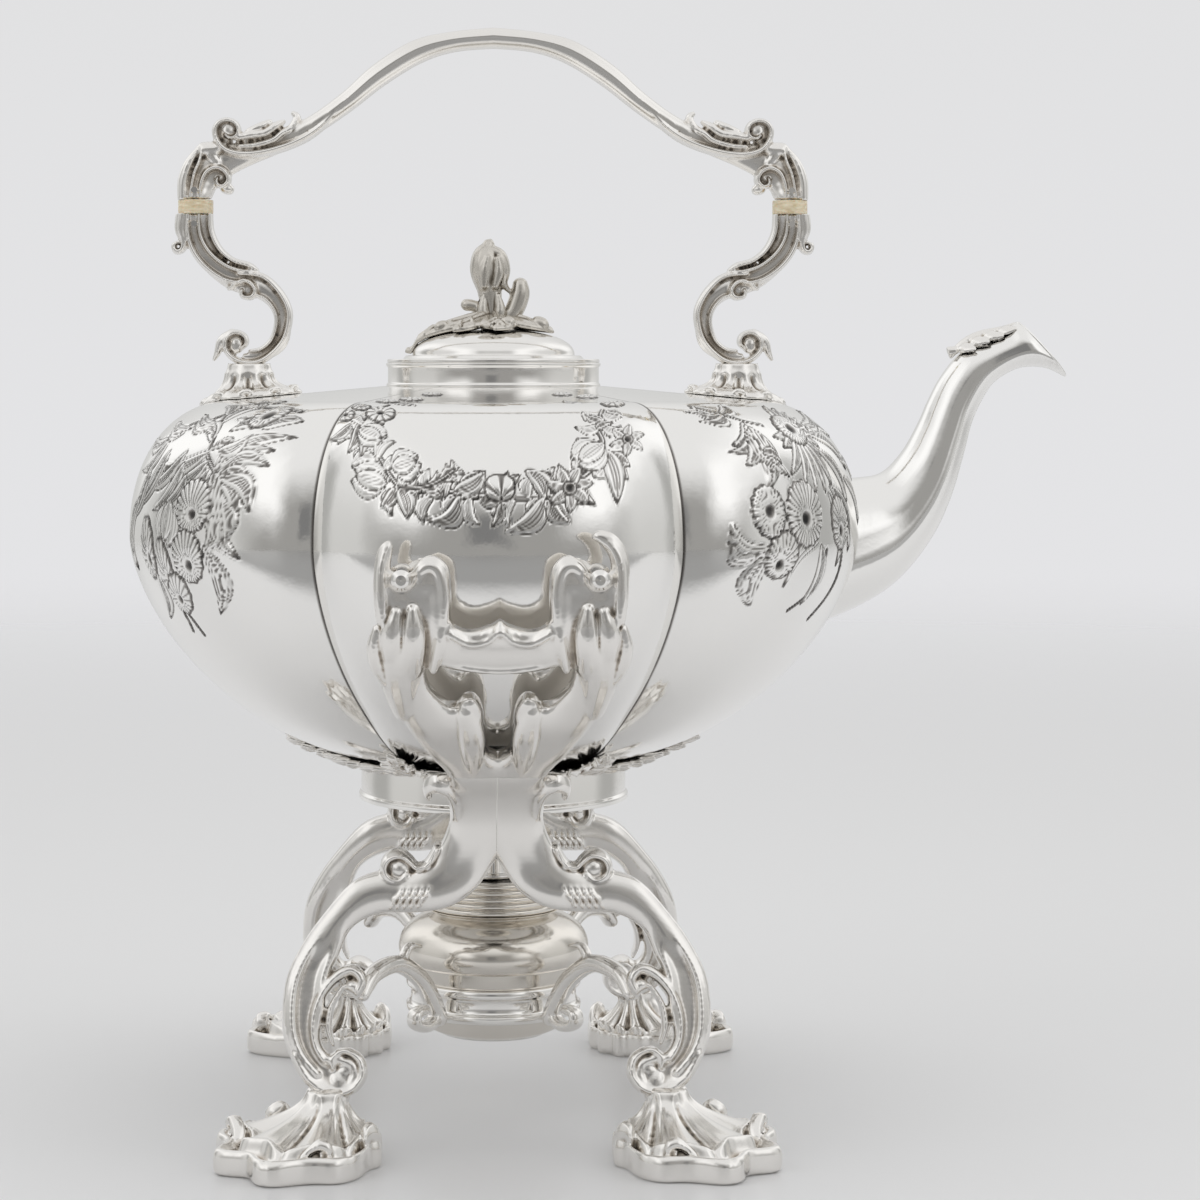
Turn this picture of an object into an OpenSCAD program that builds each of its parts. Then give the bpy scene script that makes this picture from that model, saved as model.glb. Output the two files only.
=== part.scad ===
// Spirit kettle on stand: a lobed kettle that tilts on pins in an openwork stand over a spirit lamp.
// Millimetres. The pieces are drawn about the kettle's upright axis, with the spout towards +X and
// the front of the stand towards -Y. place() then moves the axis so that the whole object stands
// centred over the origin.

/* [Kettle body] */
// Height of the widest girth above the table
girth_z = 190; // [186:0.5:196]
// Radius over the crest of a lobe at the girth
body_r = 122.5; // [118:0.5:126]
// Height from the foot joint up to the girth
belly_h = 73; // [71:0.5:75]
// Height from the girth up to the edge of the shoulder
shoulder_h = 44; // [42:0.5:46]
// Radius at the edge of the flat shoulder
shoulder_r = 87; // [85:0.5:89]
// Depth of the grooves between the lobes
groove_depth = 11; // [6:0.5:14]
// Thickness of the silver
body_wall = 1.2; // [1:0.1:1.6]
// Diameter of each strainer hole behind the spout
strainer_d = 6; // [4:0.5:7]

/* [Foot rim and neck] */
// Outer radius of the foot rim
rim_r = 44; // [40:0.5:46]
// Height of the foot rim
rim_h = 15; // [10:0.5:17]
// Wall of the foot rim
rim_wall = 1.5; // [1:0.1:3]
// Outer radius of the neck collar
collar_r = 35; // [33:0.5:38]
// Height of the neck collar
collar_h = 7.5; // [6:0.5:9]
// Radius of the filling mouth
mouth_r = 29; // [26:0.5:31]

/* [Lid] */
// Thickness of the lid's rim
lid_rim_t = 1.3; // [1:0.1:2]
// Radius of the lid's dome where it leaves the rim
dome_r = 27; // [24:0.5:29]
// Height of the dome above the rim
dome_h = 11; // [9:0.5:13]
// Depth of the bezel that drops into the mouth
bezel_h = 4; // [3:0.5:6]
// Radius of the hinge knuckles
knuckle_r = 2.2; // [2:0.1:2.6]
// Diameter of the hinge pin
hinge_pin_d = 2.2; // [1.6:0.1:2.6]
// Length of one hinge knuckle
knuckle_l = 6; // [4:0.5:8]

/* [Pins and hooks] */
// Distance of each pin from the kettle's axis, towards and away from the spout
pin_x = 28.7; // [27:0.1:30]
// Height of the pins below the girth
pin_drop = 6.6; // [5:0.2:8]
// Diameter of the pins where they lie in the hooks
pin_d = 5; // [4:0.1:5.6]
// Diameter of the ball ends
ball_d = 6; // [5:0.1:7]
// Running clearance round a pin or in a bore, on the radius
run_gap = 0.05; // [0.03:0.01:0.1]
// Gap between the crest of the front lobe and the stand
stand_gap = 1.5; // [1:0.1:2.5]
// Thickness of the fork at the hooks
hook_t = 6; // [5:0.25:7]
// Thickness of the fork at its waist
waist_t = 8; // [6:0.25:9]

/* [Legs and feet] */
// Thickness of the legs from front to rear
leg_t = 10; // [8:0.25:12]
// Height of the rim of a foot
foot_rim_h = 6; // [4:0.5:8]
// Height of a foot at the ankle
ankle_h = 24; // [22:0.5:26]
// Number of flutes on a foot
foot_flutes = 9; // [7:1:11]
// Reach of a foot from the ankle to its outer rim
foot_reach = 44; // [38:0.5:48]

/* [Lamp] */
// Outer radius of the lamp ring
ring_r = 29; // [28:0.5:31]
// Height of the ring's lower edge above the table
ring_z = 31; // [28:0.5:34]
// Height of the lamp ring
ring_h = 11; // [9:0.5:13]
// Thickness of the lamp ring
ring_t = 2.6; // [2:0.1:3.4]
// Greatest radius of the lamp
lamp_r = 31.7; // [30:0.1:34]
// Height of the lamp's globe above the ring
lamp_h = 23; // [20:0.5:26]
// Depth of the lamp's bowl below the top of the ring
bowl_h = 18.5; // [16:0.5:20]
// Thickness of the lamp's wall
lamp_wall = 1; // [0.8:0.1:1.6]
// Outer radius of the burner collar at its foot
burner_r = 22.5; // [20:0.5:24]
// Height of the burner collar
burner_h = 10; // [8:0.5:12]
// Outer diameter of the wick tube
wick_tube_d = 12; // [10:0.5:14]
// Wall of the wick tube
wick_tube_wall = 1; // [0.8:0.1:1.4]
// Height of the snuffer cap
snuffer_h = 9; // [8:0.5:10]
// Wall of the snuffer cap
snuffer_wall = 1; // [0.8:0.1:1.4]

/* [Handle] */
// Distance of the sockets from the kettle's axis
socket_x = 81; // [80:0.5:82]
// Thickness of the grip bar from front to rear
grip_t = 11; // [9:0.5:12]
// Thickness of the lower arms from front to rear
arm_t = 8.5; // [7:0.5:10]
// Thickness of the insulating discs
insulator_t = 4.6; // [3.5:0.1:5.2]
// Diameter of the insulating discs
insulator_d = 11.6; // [10:0.1:13]
// Diameter of the cross pins
cross_pin_d = 2; // [1.5:0.1:2.5]

/* [Hidden] */
$fn = 64;

silver = [0.80, 0.80, 0.79];
ivory = [0.93, 0.87, 0.72];
cotton = [0.90, 0.88, 0.82];

lobe_count = 6;
lobe_angle = 360 / lobe_count;
lobe_steps = 10;          // facets across one lobe
belly_curve = 1.62;       // superellipse powers of the profile
shoulder_curve = 2.2;
lobe_curve = 3.5;         // how square a lobe's cross-section is
groove_share = groove_depth / body_r;
touch = 0.04;             // gap between pieces that lie against each other

collar_z = 48.5;          // heights from here to dome_z are measured from the girth
collar_top = collar_z + collar_h;
lid_z = collar_top + touch;
step_h = 1.2;
dome_z = lid_z + lid_rim_t + step_h;
dome_top = dome_z + dome_h - 2 * step_h;
collar_bead = 0.6;
strap_t = 1.5;
hinge_y = collar_r + knuckle_r + 0.8;
hinge_z = collar_top + lid_rim_t / 2;
pin_z = -pin_drop;
hook_y = body_r + stand_gap + hook_t / 2;

// ---------- curves ----------
function curve_point(a, b, c, d, t) =
    0.5 * (2 * b + (c - a) * t + (2 * a - 5 * b + 4 * c - d) * t * t
        + (3 * b - a - 3 * c + d) * t * t * t);
// A smooth line through the points of p, with k steps from one to the next
function smooth(p, k) = let (n = len(p)) [
    for (i = [0 : n - 2]) for (j = [0 : k - 1])
        curve_point(p[max(i - 1, 0)], p[i], p[i + 1], p[min(i + 2, n - 1)], j / k),
    p[n - 1]];
// The same, closed into a loop
function smooth_loop(p, k) = let (n = len(p)) [
    for (i = [0 : n - 1]) for (j = [0 : k - 1])
        curve_point(p[(i + n - 1) % n], p[i], p[(i + 1) % n], p[(i + 2) % n], j / k)];
function unit(v) = v / norm(v);
function upright(p, y = 0) = [for (q = p) [q[0], y, q[1]]];
function turned(p) = [for (q = p) [-q[0], q[1]]];

// ---------- lofts ----------
// An oval cross-section between the edge points a and b, as deep as depth, seen along t
function oval(a, b, depth, t, sides) =
    let (c = (a + b) / 2, u = (b - a) / 2, n = unit(cross(t, u)) * depth / 2) [
    for (j = [0 : sides - 1]) let (w = 360 * j / sides) c + full(cos(w)) * u + full(sin(w)) * n];
function full(s) = sign(s) * pow(abs(s), 0.8);
// Cross-sections along a casting that lies between two edge lines
function loft(edge_a, edge_b, depth, sides, k) =
    let (a = smooth(edge_a, k), b = smooth(edge_b, k), h = smooth(depth, k), m = (a + b) / 2,
        n = len(a)) [
    for (i = [0 : n - 1]) oval(a[i], b[i], h[i], m[min(i + 1, n - 1)] - m[max(i - 1, 0)], sides)];

function side_faces(n, p, q) = [
    for (j = [0 : n - 1]) let (e = (j + 1) % n) each [[p + j, q + j, q + e], [p + j, q + e, p + e]]];
// A solid through a stack of cross-sections, closed at both ends
module skin(rings) {
    n = len(rings[0]);
    last = len(rings) - 1;
    polyhedron([for (r = rings) each r], concat(
        [[for (j = [0 : n - 1]) j]],
        [for (i = [0 : last - 1]) each side_faces(n, i * n, (i + 1) * n)],
        [[for (j = [n - 1 : -1 : 0]) last * n + j]]));
}
// A tube: its cross-sections run out along the outside and back along the bore
module sleeve(rings) {
    n = len(rings[0]);
    m = len(rings);
    polyhedron([for (r = rings) each r],
        [for (i = [0 : m - 1]) each side_faces(n, i * n, ((i + 1) % m) * n)]);
}
module casting(edge_a, edge_b, depth, sides = 8, k = 2) {
    skin(loft(edge_a, edge_b, depth, sides, k));
}
// A rolled scroll end, its axis from front to rear
module scroll_eye(x, z, r, width, y = 0) {
    translate([x, y, z]) rotate([90, 0, 0]) {
        cylinder(r = r, h = width, center = true, $fn = 32);
        cylinder(r = r * 0.45, h = width + 1.6, center = true, $fn = 32);
    }
}

// ---------- placing ----------
module place() { translate([-middle_x, 0, 0]) children(); }
module at_girth() { translate([0, 0, girth_z]) children(); }
module mirrored_x() { mirror([1, 0, 0]) children(); }
module mirrored_y() { mirror([0, 1, 0]) children(); }
module front_and_rear() { children(); mirrored_y() children(); }

// ---------- the lobed body ----------
function fade(x) = let (t = max(0, min(1, x))) t * t * (3 - 2 * t);
// How deep the grooves are, as a share of the radius, near the foot, the girth and the neck
function share_low(r) = groove_share * fade((r - rim_r) / (body_r - rim_r) * 1.6);
function share_high(r) = groove_share * (0.15 + 0.85 * fade((r - collar_r) / (body_r - collar_r)));
// 0 on the crest of a lobe and 1 in a groove
function lobe(w) = pow(abs((w + 720) % lobe_angle - lobe_angle / 2) / (lobe_angle / 2), lobe_curve);
function belly_r(z, off = 0) = let (v = min(1, -z / (belly_h - off)))
    rim_r + (body_r - off - rim_r) * pow(1 - pow(v, belly_curve), 1 / belly_curve);
function shoulder_at(z, off = 0) = let (v = min(1, z / (shoulder_h - off)))
    shoulder_r + (body_r - off - shoulder_r) * pow(1 - pow(v, shoulder_curve), 1 / shoulder_curve);
function surface_r(w, z) = let (r = z < 0 ? belly_r(z) : shoulder_at(z))
    r * (1 - (z < 0 ? share_low(r) : share_high(r)) * lobe(w));
// The body's surface as x at a given y and z, as y at a given x and z, and as z at a given x and y
function body_x(y, z, x = 110, turns = 4) = turns == 0 ? x
    : body_x(y, z, sqrt(max(1, pow(surface_r(atan2(y, x), z), 2) - y * y)), turns - 1);
function body_y(x, z, y = 110, turns = 4) = turns == 0 ? y
    : body_y(x, z, sqrt(max(1, pow(surface_r(atan2(y, x), z), 2) - x * x)), turns - 1);
function body_z(x, y) = let (r = norm([x, y]), w = atan2(y, x),
        crest = r / (1 - share_high(r) * lobe(w)), u = (crest - shoulder_r) / (body_r - shoulder_r))
    u > 0 ? shoulder_h * pow(max(0, 1 - pow(u, shoulder_curve)), 1 / shoulder_curve)
    : shoulder_h + (collar_z - shoulder_h) * (shoulder_r - crest) / (shoulder_r - collar_r);

function body_ring(r, z, share) = [for (j = [0 : lobe_count * lobe_steps - 1])
    let (w = j * lobe_angle / lobe_steps, q = r * (1 - share * lobe(w))) [q * cos(w), q * sin(w), z]];
function belly_rings(off, steps) = [for (i = [0 : steps]) let (a = 90 * i / steps,
    r = rim_r + (body_r - off - rim_r) * pow(sin(a), 2 / belly_curve),
    z = -(belly_h - off) * pow(cos(a), 2 / belly_curve)) body_ring(r, z, share_low(r))];
function shoulder_rings(off, steps) = [for (i = [1 : steps]) let (a = 90 * i / steps,
    r = shoulder_r + (body_r - off - shoulder_r) * pow(cos(a), 2 / shoulder_curve),
    z = (shoulder_h - off) * pow(sin(a), 2 / shoulder_curve)) body_ring(r, z, share_high(r))];
function reversed(p) = [for (i = [len(p) - 1 : -1 : 0]) p[i]];

module kettle_body() {
    mouth = mouth_r + touch;
    color(silver) at_girth() difference() {
        skin(concat(
            belly_rings(0, 11), shoulder_rings(0, 8),
            [body_ring((shoulder_r + collar_r) / 2, (shoulder_h + collar_z) / 2, groove_share / 3),
                body_ring(collar_r, collar_z, 0), body_ring(mouth, collar_z, 0),
                body_ring(mouth, collar_z - body_wall, 0)],
            reversed(concat(belly_rings(body_wall, 6), shoulder_rings(body_wall, 5)))));
        for (a = [0 : 5]) strainer_hole(12 * cos(60 * a), 12 * sin(60 * a));
        strainer_hole(0, 0);
    }
}
module strainer_hole(y, z) {
    translate([body_r - 30, y, z + spout_mid]) rotate([0, 90, 0])
        cylinder(d = strainer_d, h = 40, $fn = 24);
}

module foot_rim() {
    z = -belly_h - touch;
    color(silver) at_girth() rotate_extrude($fn = 96) polygon([
        [rim_r, z], [rim_r, z - rim_h + 2], [rim_r + 0.8, z - rim_h + 1.4], [rim_r + 0.8, z - rim_h],
        [rim_r - rim_wall, z - rim_h], [rim_r - rim_wall, z]]);
}

// Radius and height of a point at a distance off the belly
function off_belly(w, z, off) = let (p = [surface_r(w, z), z], q = [surface_r(w, z + 0.3), z + 0.3],
    t = unit(q - p)) p + off * [t[1], -t[0]];
leaf_gap = 2.4;           // from the belly to the middle of a leaf
// One leaf of the border, laid on the belly: tip height above the foot joint, lean and width
module border_leaf(angle, lean, length, width) {
    stations = [0, 0.35, 0.7, 1];
    widths = [0.5, 1, 0.7, 0.12];
    edge = function (side) [for (i = [0 : 3]) let (z = -belly_h + 0.6 + length * stations[i],
        w = angle + lean * stations[i] + side * width * widths[i] / 2, p = off_belly(w, z, leaf_gap))
        [p[0] * cos(w), p[0] * sin(w), p[1]]];
    skin(loft(edge(1), edge(-1), [1.4, 1.8, 1.4, 0.7], 6, 1));
}
module base_foliage() {
    color(silver) at_girth() for (i = [0 : lobe_count - 1]) {
        w = i * lobe_angle;
        border_leaf(w, 0, 15, 12);
        border_leaf(w + 13, 8, 9, 10);
        border_leaf(w - 13, -8, 9, 10);
        border_leaf(w + lobe_angle / 2, 0, 5, 12);
    }
}

module neck_collar() {
    color(silver) at_girth() rotate_extrude($fn = 96) polygon([
        [mouth_r, collar_z + touch], [collar_r, collar_z + touch],
        [collar_r, collar_top - 2 * collar_bead], [collar_r + collar_bead, collar_top - collar_bead],
        [collar_r + collar_bead, collar_top], [mouth_r, collar_top]]);
}

// ---------- spout ----------
// Upper and lower edge of the spout from root to lip, and its width from front to rear
spout_top = [[112, 17.6], [122, 18], [129.7, 19.8], [136.5, 27], [141.5, 36], [144.8, 43.5],
    [149, 51.5], [155.7, 59.5], [164, 63.3], [170, 66], [172.4, 68.6], [174.2, 69.7]];
spout_low = [[108, -31], [126, -22.5], [137, -14], [146.5, -1.5], [152.5, 11.5], [156.5, 25],
    [159.5, 36.5], [163.5, 45], [167.5, 50.2], [175.3, 54.4], [184, 54.4], [190.6, 51.5]];
spout_width = [44, 36, 30, 26, 23, 20, 17.5, 16, 15.4, 16, 17, 15];
spout_mid = (spout_top[0][1] + spout_low[0][1]) / 2;
spout_wall = body_wall;
spout_tip = spout_low[len(spout_low) - 1][0];
middle_x = (spout_tip - body_r * cos(lobe_angle / 2) * 1.1155) / 2;

// The root's cross-section laid against the body
function on_body(ring) = [for (p = ring) [body_x(p[1], p[2]) + 0.1, p[1], p[2]]];
// The lip's cross-section, bowed out below the peak like a beak
function lipped(ring, a, b) = [for (p = ring) let (s = ([p[0], p[2]] - a) * (b - a) / norm(b - a) ^ 2)
    p + lip_bow * sin(180 * s * s) * [0.75, 0, 0.66]];
lip_bow = 4.2;
function spout_rings(off, sides = 16, k = 1) =
    let (a = smooth(spout_top, k), b = smooth(spout_low, k), h = smooth(spout_width, k),
        n = len(a)) [
    for (i = [0 : n - 1]) let (u = unit(b[i] - a[i]) * off, c = a[i] + u, d = b[i] - u,
            e = oval([c[0], 0, c[1]], [d[0], 0, d[1]], h[i] - 2 * off, [d[1] - c[1], 0, c[0] - d[0]] * -1,
                sides)) i == 0 ? on_body(e) : i == n - 1 ? lipped(e, a[i], b[i]) : e];
module spout() {
    color(silver) at_girth()
        sleeve(concat(spout_rings(0), reversed(spout_rings(spout_wall))));
}

module spout_leaf() {
    rings = spout_rings(-touch);
    color(silver) at_girth() difference() {
        translate([0, 0, 0.4]) {
            for (i = [0 : 3]) translate([156 + 4.6 * i, 0, 61.4 + 1.5 * i]) rotate([0, -18, 0])
                leaf_pair(3.2, 7.6 - 0.5 * i);
            casting(upright([[154.5, 60.6], [163, 65.6], [170.6, 69.4]]),
                upright([[156, 62.4], [163.5, 67.2], [170.6, 71]]), [4, 3.4, 2], 6, 2);
        }
        skin([for (i = [1 : len(rings) - 2]) rings[i]]);
    }
}
module leaf_pair(l, w) {
    front_and_rear() casting([[-l, 0.3, 1], [-l * 0.6, w / 2, 0.4], [0.4 * l, w, -0.8]],
        [[l, 0.3, 1], [l * 0.9, w / 2, 0.4], [0.9 * l, w, -0.8]], [1.6, 1.4, 0.8], 6, 1);
}

// ---------- pins ----------
module pin_pair(x, z) {
    start = body_y(x, z) - body_wall / 2;
    front_and_rear() translate([x, -start, z]) rotate([90, 0, 0]) {
        cylinder(d = pin_d + 3, h = body_wall + 0.8);
        cylinder(d = pin_d, h = hook_y + hook_t / 2 + 0.4 - start);
        translate([0, 0, hook_y + hook_t / 2 + 0.3 - start])
            rotate_extrude() polygon([[0, 0], [ball_d / 2 - 0.5, 0], [ball_d / 2, 0.8],
                [ball_d / 2, 1.8], [ball_d / 2 - 0.7, 2.8], [ball_d / 4, 3.4], [0, 3.5]]);
    }
}
module pivot_pins() { color(silver) at_girth() pin_pair(pin_x, pin_z); }
module rest_pins() { color(silver) at_girth() pin_pair(-pin_x, pin_z); }

// ---------- handle, drawn on its left half ----------
grip_outer = [[0, 167.4], [-14, 166], [-27, 163], [-40, 155], [-50, 146], [-61, 138], [-72, 133],
    [-81, 129.8], [-89, 128.6], [-96.5, 125.5], [-101.5, 119.5], [-104.3, 110.3]];
grip_inner = [[0, 159.8], [-13, 158.6], [-24, 154.8], [-36, 147.4], [-47, 139], [-59, 131],
    [-71, 125], [-79, 121.6], [-84.5, 118.8], [-88, 116.5], [-91, 113.8], [-92.8, 110.3]];
grip_last = len(grip_outer) - 1;
insulator_top = 110;
insulator_low = insulator_top - insulator_t - 2 * touch;
arm_outer = [[-104.3, 105], [-103, 98], [-100, 91], [-94.4, 84.6], [-87.7, 79.6], [-80, 77.5],
    [-75, 74.6], [-72, 70], [-73.4, 64], [-78, 60.6], [-83, 59.4]];
arm_inner = [[-92.8, 105], [-92.8, 100], [-92, 96], [-87.5, 89.5], [-80.5, 86.3], [-73.5, 83],
    [-68.2, 77.5], [-66.5, 70], [-68, 61.5], [-74.5, 56.9], [-83, 57]];
arm_depth = [1, 1, 1, 1, 0.95, 0.9, 0.85, 0.8, 0.8, 0.8, 0.8];
socket_top = 56;
insulator_mid = [(arm_outer[0][0] + arm_inner[0][0]) / 2, (insulator_top + insulator_low) / 2];

module scroll_leaf(a, b, depth) {
    casting(upright(a), upright(b), depth, 6, 2);
}
module grip_half() {
    casting(upright(grip_outer), upright(grip_inner),
        [for (i = [0 : grip_last]) i < grip_last ? grip_t : insulator_d], 8, 2);
    scroll_eye(-86.4, 132.4, 4.3, grip_t - 1);
    scroll_leaf([[-84, 136.5], [-77, 131.5], [-69.5, 135.3], [-63.5, 140.6]],
        [[-86, 129], [-76, 127.5], [-67, 130], [-62, 137]], [8, 9, 7, 2.5]);
    scroll_eye(-87.4, 115.6, 3.1, grip_t - 2);
}
module handle_grip() {
    color(silver) at_girth() difference() {
        union() {
            grip_half();
            mirrored_x() grip_half();
        }
        for (side = [-1, 1]) translate([side * insulator_mid[0], 0, insulator_top - 2])
            cube([30, 40, 4], center = true);
        insulator_pin_bore(pin_above);
        mirrored_x() insulator_pin_bore(pin_above);
    }
}
module lower_arm() {
    color(silver) at_girth() difference() {
        union() {
            casting(upright(arm_outer), upright(arm_inner), [for (d = arm_depth) d * arm_t * 1.1],
                8, 2);
            scroll_eye(-82.6, 62.2, 3.9, arm_t);
            scroll_eye(-97.5, 96, 2.4, arm_t + 1.5);
            scroll_leaf([[-82, 81], [-90, 77.5], [-94, 79.5]], [[-80, 78], [-90, 74.6], [-96.5, 77]],
                [6, 5, 2]);
            translate([-socket_x, 0, socket_top - 6.5]) linear_extrude(8)
                square([5, 4], center = true);
        }
        translate([insulator_mid[0], 0, insulator_low + 2]) cube([30, 40, 4], center = true);
        insulator_pin_bore(pin_below);
        socket_pin_bore();
    }
}
module socket_pin_bore() {
    translate([-socket_x, 0, socket_top - 4]) rotate([90, 0, 0])
        cylinder(d = cross_pin_d + 2 * touch, h = 60, center = true, $fn = 24);
}
module lower_arm_left() { lower_arm(); }
module lower_arm_right() { mirrored_x() lower_arm(); }

module insulator() {
    color(ivory) at_girth() translate([insulator_mid[0], 0, insulator_low + touch])
        cylinder(d = insulator_d, h = insulator_t);
}
module insulator_left() { insulator(); }
module insulator_right() { mirrored_x() insulator(); }
pin_above = insulator_top + 3;
pin_below = insulator_low - 3.4;
module insulator_pins() {
    color(silver) at_girth() for (side = [-1, 1]) for (z = [pin_above, pin_below])
        translate([side * insulator_mid[0], 0, z]) rotate([90, 0, 0])
            cylinder(d = cross_pin_d, h = insulator_d + 1.4, center = true, $fn = 24);
}
module insulator_pin_bore(z) {
    translate([insulator_mid[0], 0, z]) rotate([90, 0, 0])
        cylinder(d = cross_pin_d + 2 * touch, h = 40, center = true, $fn = 24);
}
module socket_pins() {
    color(silver) at_girth() for (side = [-1, 1])
        translate([side * socket_x, 0, socket_top - 4]) rotate([90, 0, 0])
            cylinder(d = cross_pin_d, h = 17, center = true, $fn = 24);
}

// A fluted shell: rings from its scalloped edge on the shoulder up to the saddle
socket_rings = [[0.3, 0.3, 0], [9, 7, 0], [17, 13.5, 0], [16, 12.6, 2.2], [12.6, 10, 3.2], [9.6, 8, 5.2],
    [8, 7.2, 8], [7.4, 6.6, 0]];
socket_last = len(socket_rings) - 1;
function socket_ring(i) = let (s = socket_rings[i]) [for (j = [0 : 31])
    let (w = 360 * j / 32, f = 1 - (i > 5 ? 0.03 : 0.07) * (1 - abs(cos(4 * w))),
        x = -socket_x + s[0] * f * cos(w), y = s[1] * f * sin(w), base = body_z(x, y) + 0.15)
    [x, y, i == socket_last ? socket_top : base + s[2]]];
module handle_socket() {
    color(silver) at_girth() difference() {
        skin([for (i = [0 : socket_last]) socket_ring(i)]);
        translate([-socket_x, 0, socket_top]) cube([5 + 2 * touch, 4 + 2 * touch, 13.1], center = true);
        socket_pin_bore();
    }
}
module handle_socket_left() { handle_socket(); }
module handle_socket_right() { mirrored_x() handle_socket(); }

// ---------- lid ----------
function dome(r, h, steps) = [for (i = [0 : steps]) let (a = 90 * i / steps)
    [r * pow(cos(a), 0.8), dome_z + h * pow(sin(a), 0.9)]];
module lid() {
    rim = collar_r + 0.2;
    wall = body_wall;
    color(silver) at_girth() difference() {
        rotate_extrude($fn = 96) polygon(concat(
            [[rim, lid_z], [rim, lid_z + lid_rim_t], [dome_r + 3, lid_z + lid_rim_t],
                [dome_r + 2, dome_z]],
            [for (p = dome(dome_r, dome_h - 2 * step_h, 8)) p],
            [[0, dome_top - wall]],
            reversed([for (p = dome(dome_r - wall, dome_h - 2 * step_h - wall, 8)) if (p[0] > 0.01) p]),
            [[dome_r - wall, lid_z - bezel_h], [mouth_r - 0.6, lid_z - bezel_h], [mouth_r - 0.6, lid_z]]));
        translate([0, 0, dome_top]) cylinder(d = 3 + 2 * touch, h = 12, center = true, $fn = 24);
    }
}
module knuckle(x, l) {
    translate([x, hinge_y, hinge_z]) rotate([0, 90, 0]) difference() {
        cylinder(r = knuckle_r, h = l, center = true, $fn = 48);
        cylinder(d = hinge_pin_d + 2 * run_gap, h = l + 1, center = true, $fn = 48);
    }
}
module hinge_body_knuckles() {
    color(silver) at_girth() for (side = [-1, 1]) {
        x = side * (knuckle_l + 0.3);
        knuckle(x, knuckle_l);
        // strap down the back of the collar
        difference() {
            translate([x, hinge_y - strap_t, collar_z + 1.5 + collar_h / 2])
                cube([knuckle_l, 2 * strap_t, collar_h - 2], center = true);
            hinge_clear(4 * knuckle_l, hinge_pin_d + 2 * run_gap);
            cylinder(r = collar_r + collar_bead + touch, h = 200, center = true, $fn = 96);
        }
    }
}
module hinge_clear(l, d) {
    translate([0, hinge_y, hinge_z]) rotate([0, 90, 0]) cylinder(d = d, h = l, center = true, $fn = 48);
}
module hinge_lid_knuckle() {
    l = knuckle_l - 0.2;
    color(silver) at_girth() {
        knuckle(0, l);
        difference() {
            translate([0, hinge_y - knuckle_r, hinge_z + 0.35]) cube([l, 2 * knuckle_r, 1.2], center = true);
            hinge_clear(knuckle_l + 2, hinge_pin_d + 2 * run_gap);
            cylinder(r = collar_r + 0.24, h = 200, center = true, $fn = 96);
        }
    }
}
module hinge_pin() {
    color(silver) at_girth() hinge_clear(3 * knuckle_l + 1.6, hinge_pin_d);
}

module finial_bud() {
    z = dome_top + 2.2;
    color(silver) at_girth() {
        casting(upright([[-5.2, z], [-5, z + 6], [-6.4, z + 13], [-7.2, z + 19], [-5.4, z + 25],
                [-2.4, z + 27.6]]),
            upright([[4.6, z], [4.4, z + 6], [3.2, z + 13], [3.4, z + 19], [3, z + 25],
                [0.6, z + 27.6]]), [8, 8, 8.6, 10, 8, 2.6], 10, 2);
        casting(upright([[2.6, z + 24], [5.4, z + 21], [5, z + 15], [6.4, z + 11]]),
            upright([[0, z + 19], [2, z + 17], [2.4, z + 13], [4.4, z + 9.4]]), [7, 6.5, 5, 1.6], 8, 2);
        casting(upright([[1, z + 1], [5.6, z + 7], [6.4, z + 13]]),
            upright([[7, z + 0.2], [11.6, z + 6], [12, z + 12.6]]), [6, 5.4, 5], 8, 2);
        casting(upright([[-4, z + 6], [-9.4, z + 7.6]]), upright([[-3, z + 2], [-8.6, z + 4]]),
            [4, 3.4], 8, 1);
        translate([0, 0, dome_top - 5]) cylinder(d = 3, h = 8, $fn = 24);
    }
}
module finial_leaf(edge_a, edge_b, depth) { skin(loft(edge_a, edge_b, depth, 8, 2)); }
module finial_leaves() {
    z = dome_top + 0.1;
    color(silver) at_girth() difference() {
        union() {
            translate([0, 0, z]) cylinder(r = 8, h = 2, $fn = 40);
            finial_leaf([[2, -6, z + 1], [-12, -8, z + 1.6], [-21, -6, z - 1], [-29, -2, z - 3]],
                [[-2, 4, z + 1], [-12, 3, z + 1.6], [-21, 0, z - 0.4], [-29, -1, z - 3]],
                [2.6, 2.4, 2, 0.8]);
            finial_leaf([[-4, -2, z + 1], [-6.5, -9, z + 3.4], [-4.4, -14, z + 1.4], [-1, -17, z - 1]],
                [[6, -2, z + 1], [8, -9, z + 3.4], [6.4, -14, z + 1.4], [2, -17, z - 1]],
                [2.6, 2.6, 2.4, 0.8]);
            finial_leaf([[0, -4, z + 1], [9, -7, z + 1.6], [15, -5.6, z + 1.4], [19.5, -3, z - 0.4]],
                [[0, 5, z + 1], [9, 6, z + 1.6], [15, 4, z + 1.4], [19.5, 1, z - 0.4]],
                [2.6, 3.4, 3.6, 1.2]);
            finial_leaf([[5, 2, z + 1], [6, 9, z + 2.4], [3, 15, z]], [[-6, 2, z + 1], [-7, 9, z + 2.4],
                [-1, 15, z]], [2.6, 2.4, 0.8]);
        }
        translate([0, 0, z - 5]) cylinder(d = 3 + 2 * touch, h = 12, $fn = 24);
        translate([0, 0, z + 2]) cylinder(r = 7.6, h = 12, $fn = 40);
    }
}
module finial_nut() {
    color(silver) at_girth() translate([0, 0, dome_top - body_wall - 3.2]) difference() {
        cylinder(d = 8, h = 3, $fn = 6);
        translate([0, 0, -1]) cylinder(d = 3 + 2 * touch, h = 6, $fn = 24);
    }
}

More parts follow.
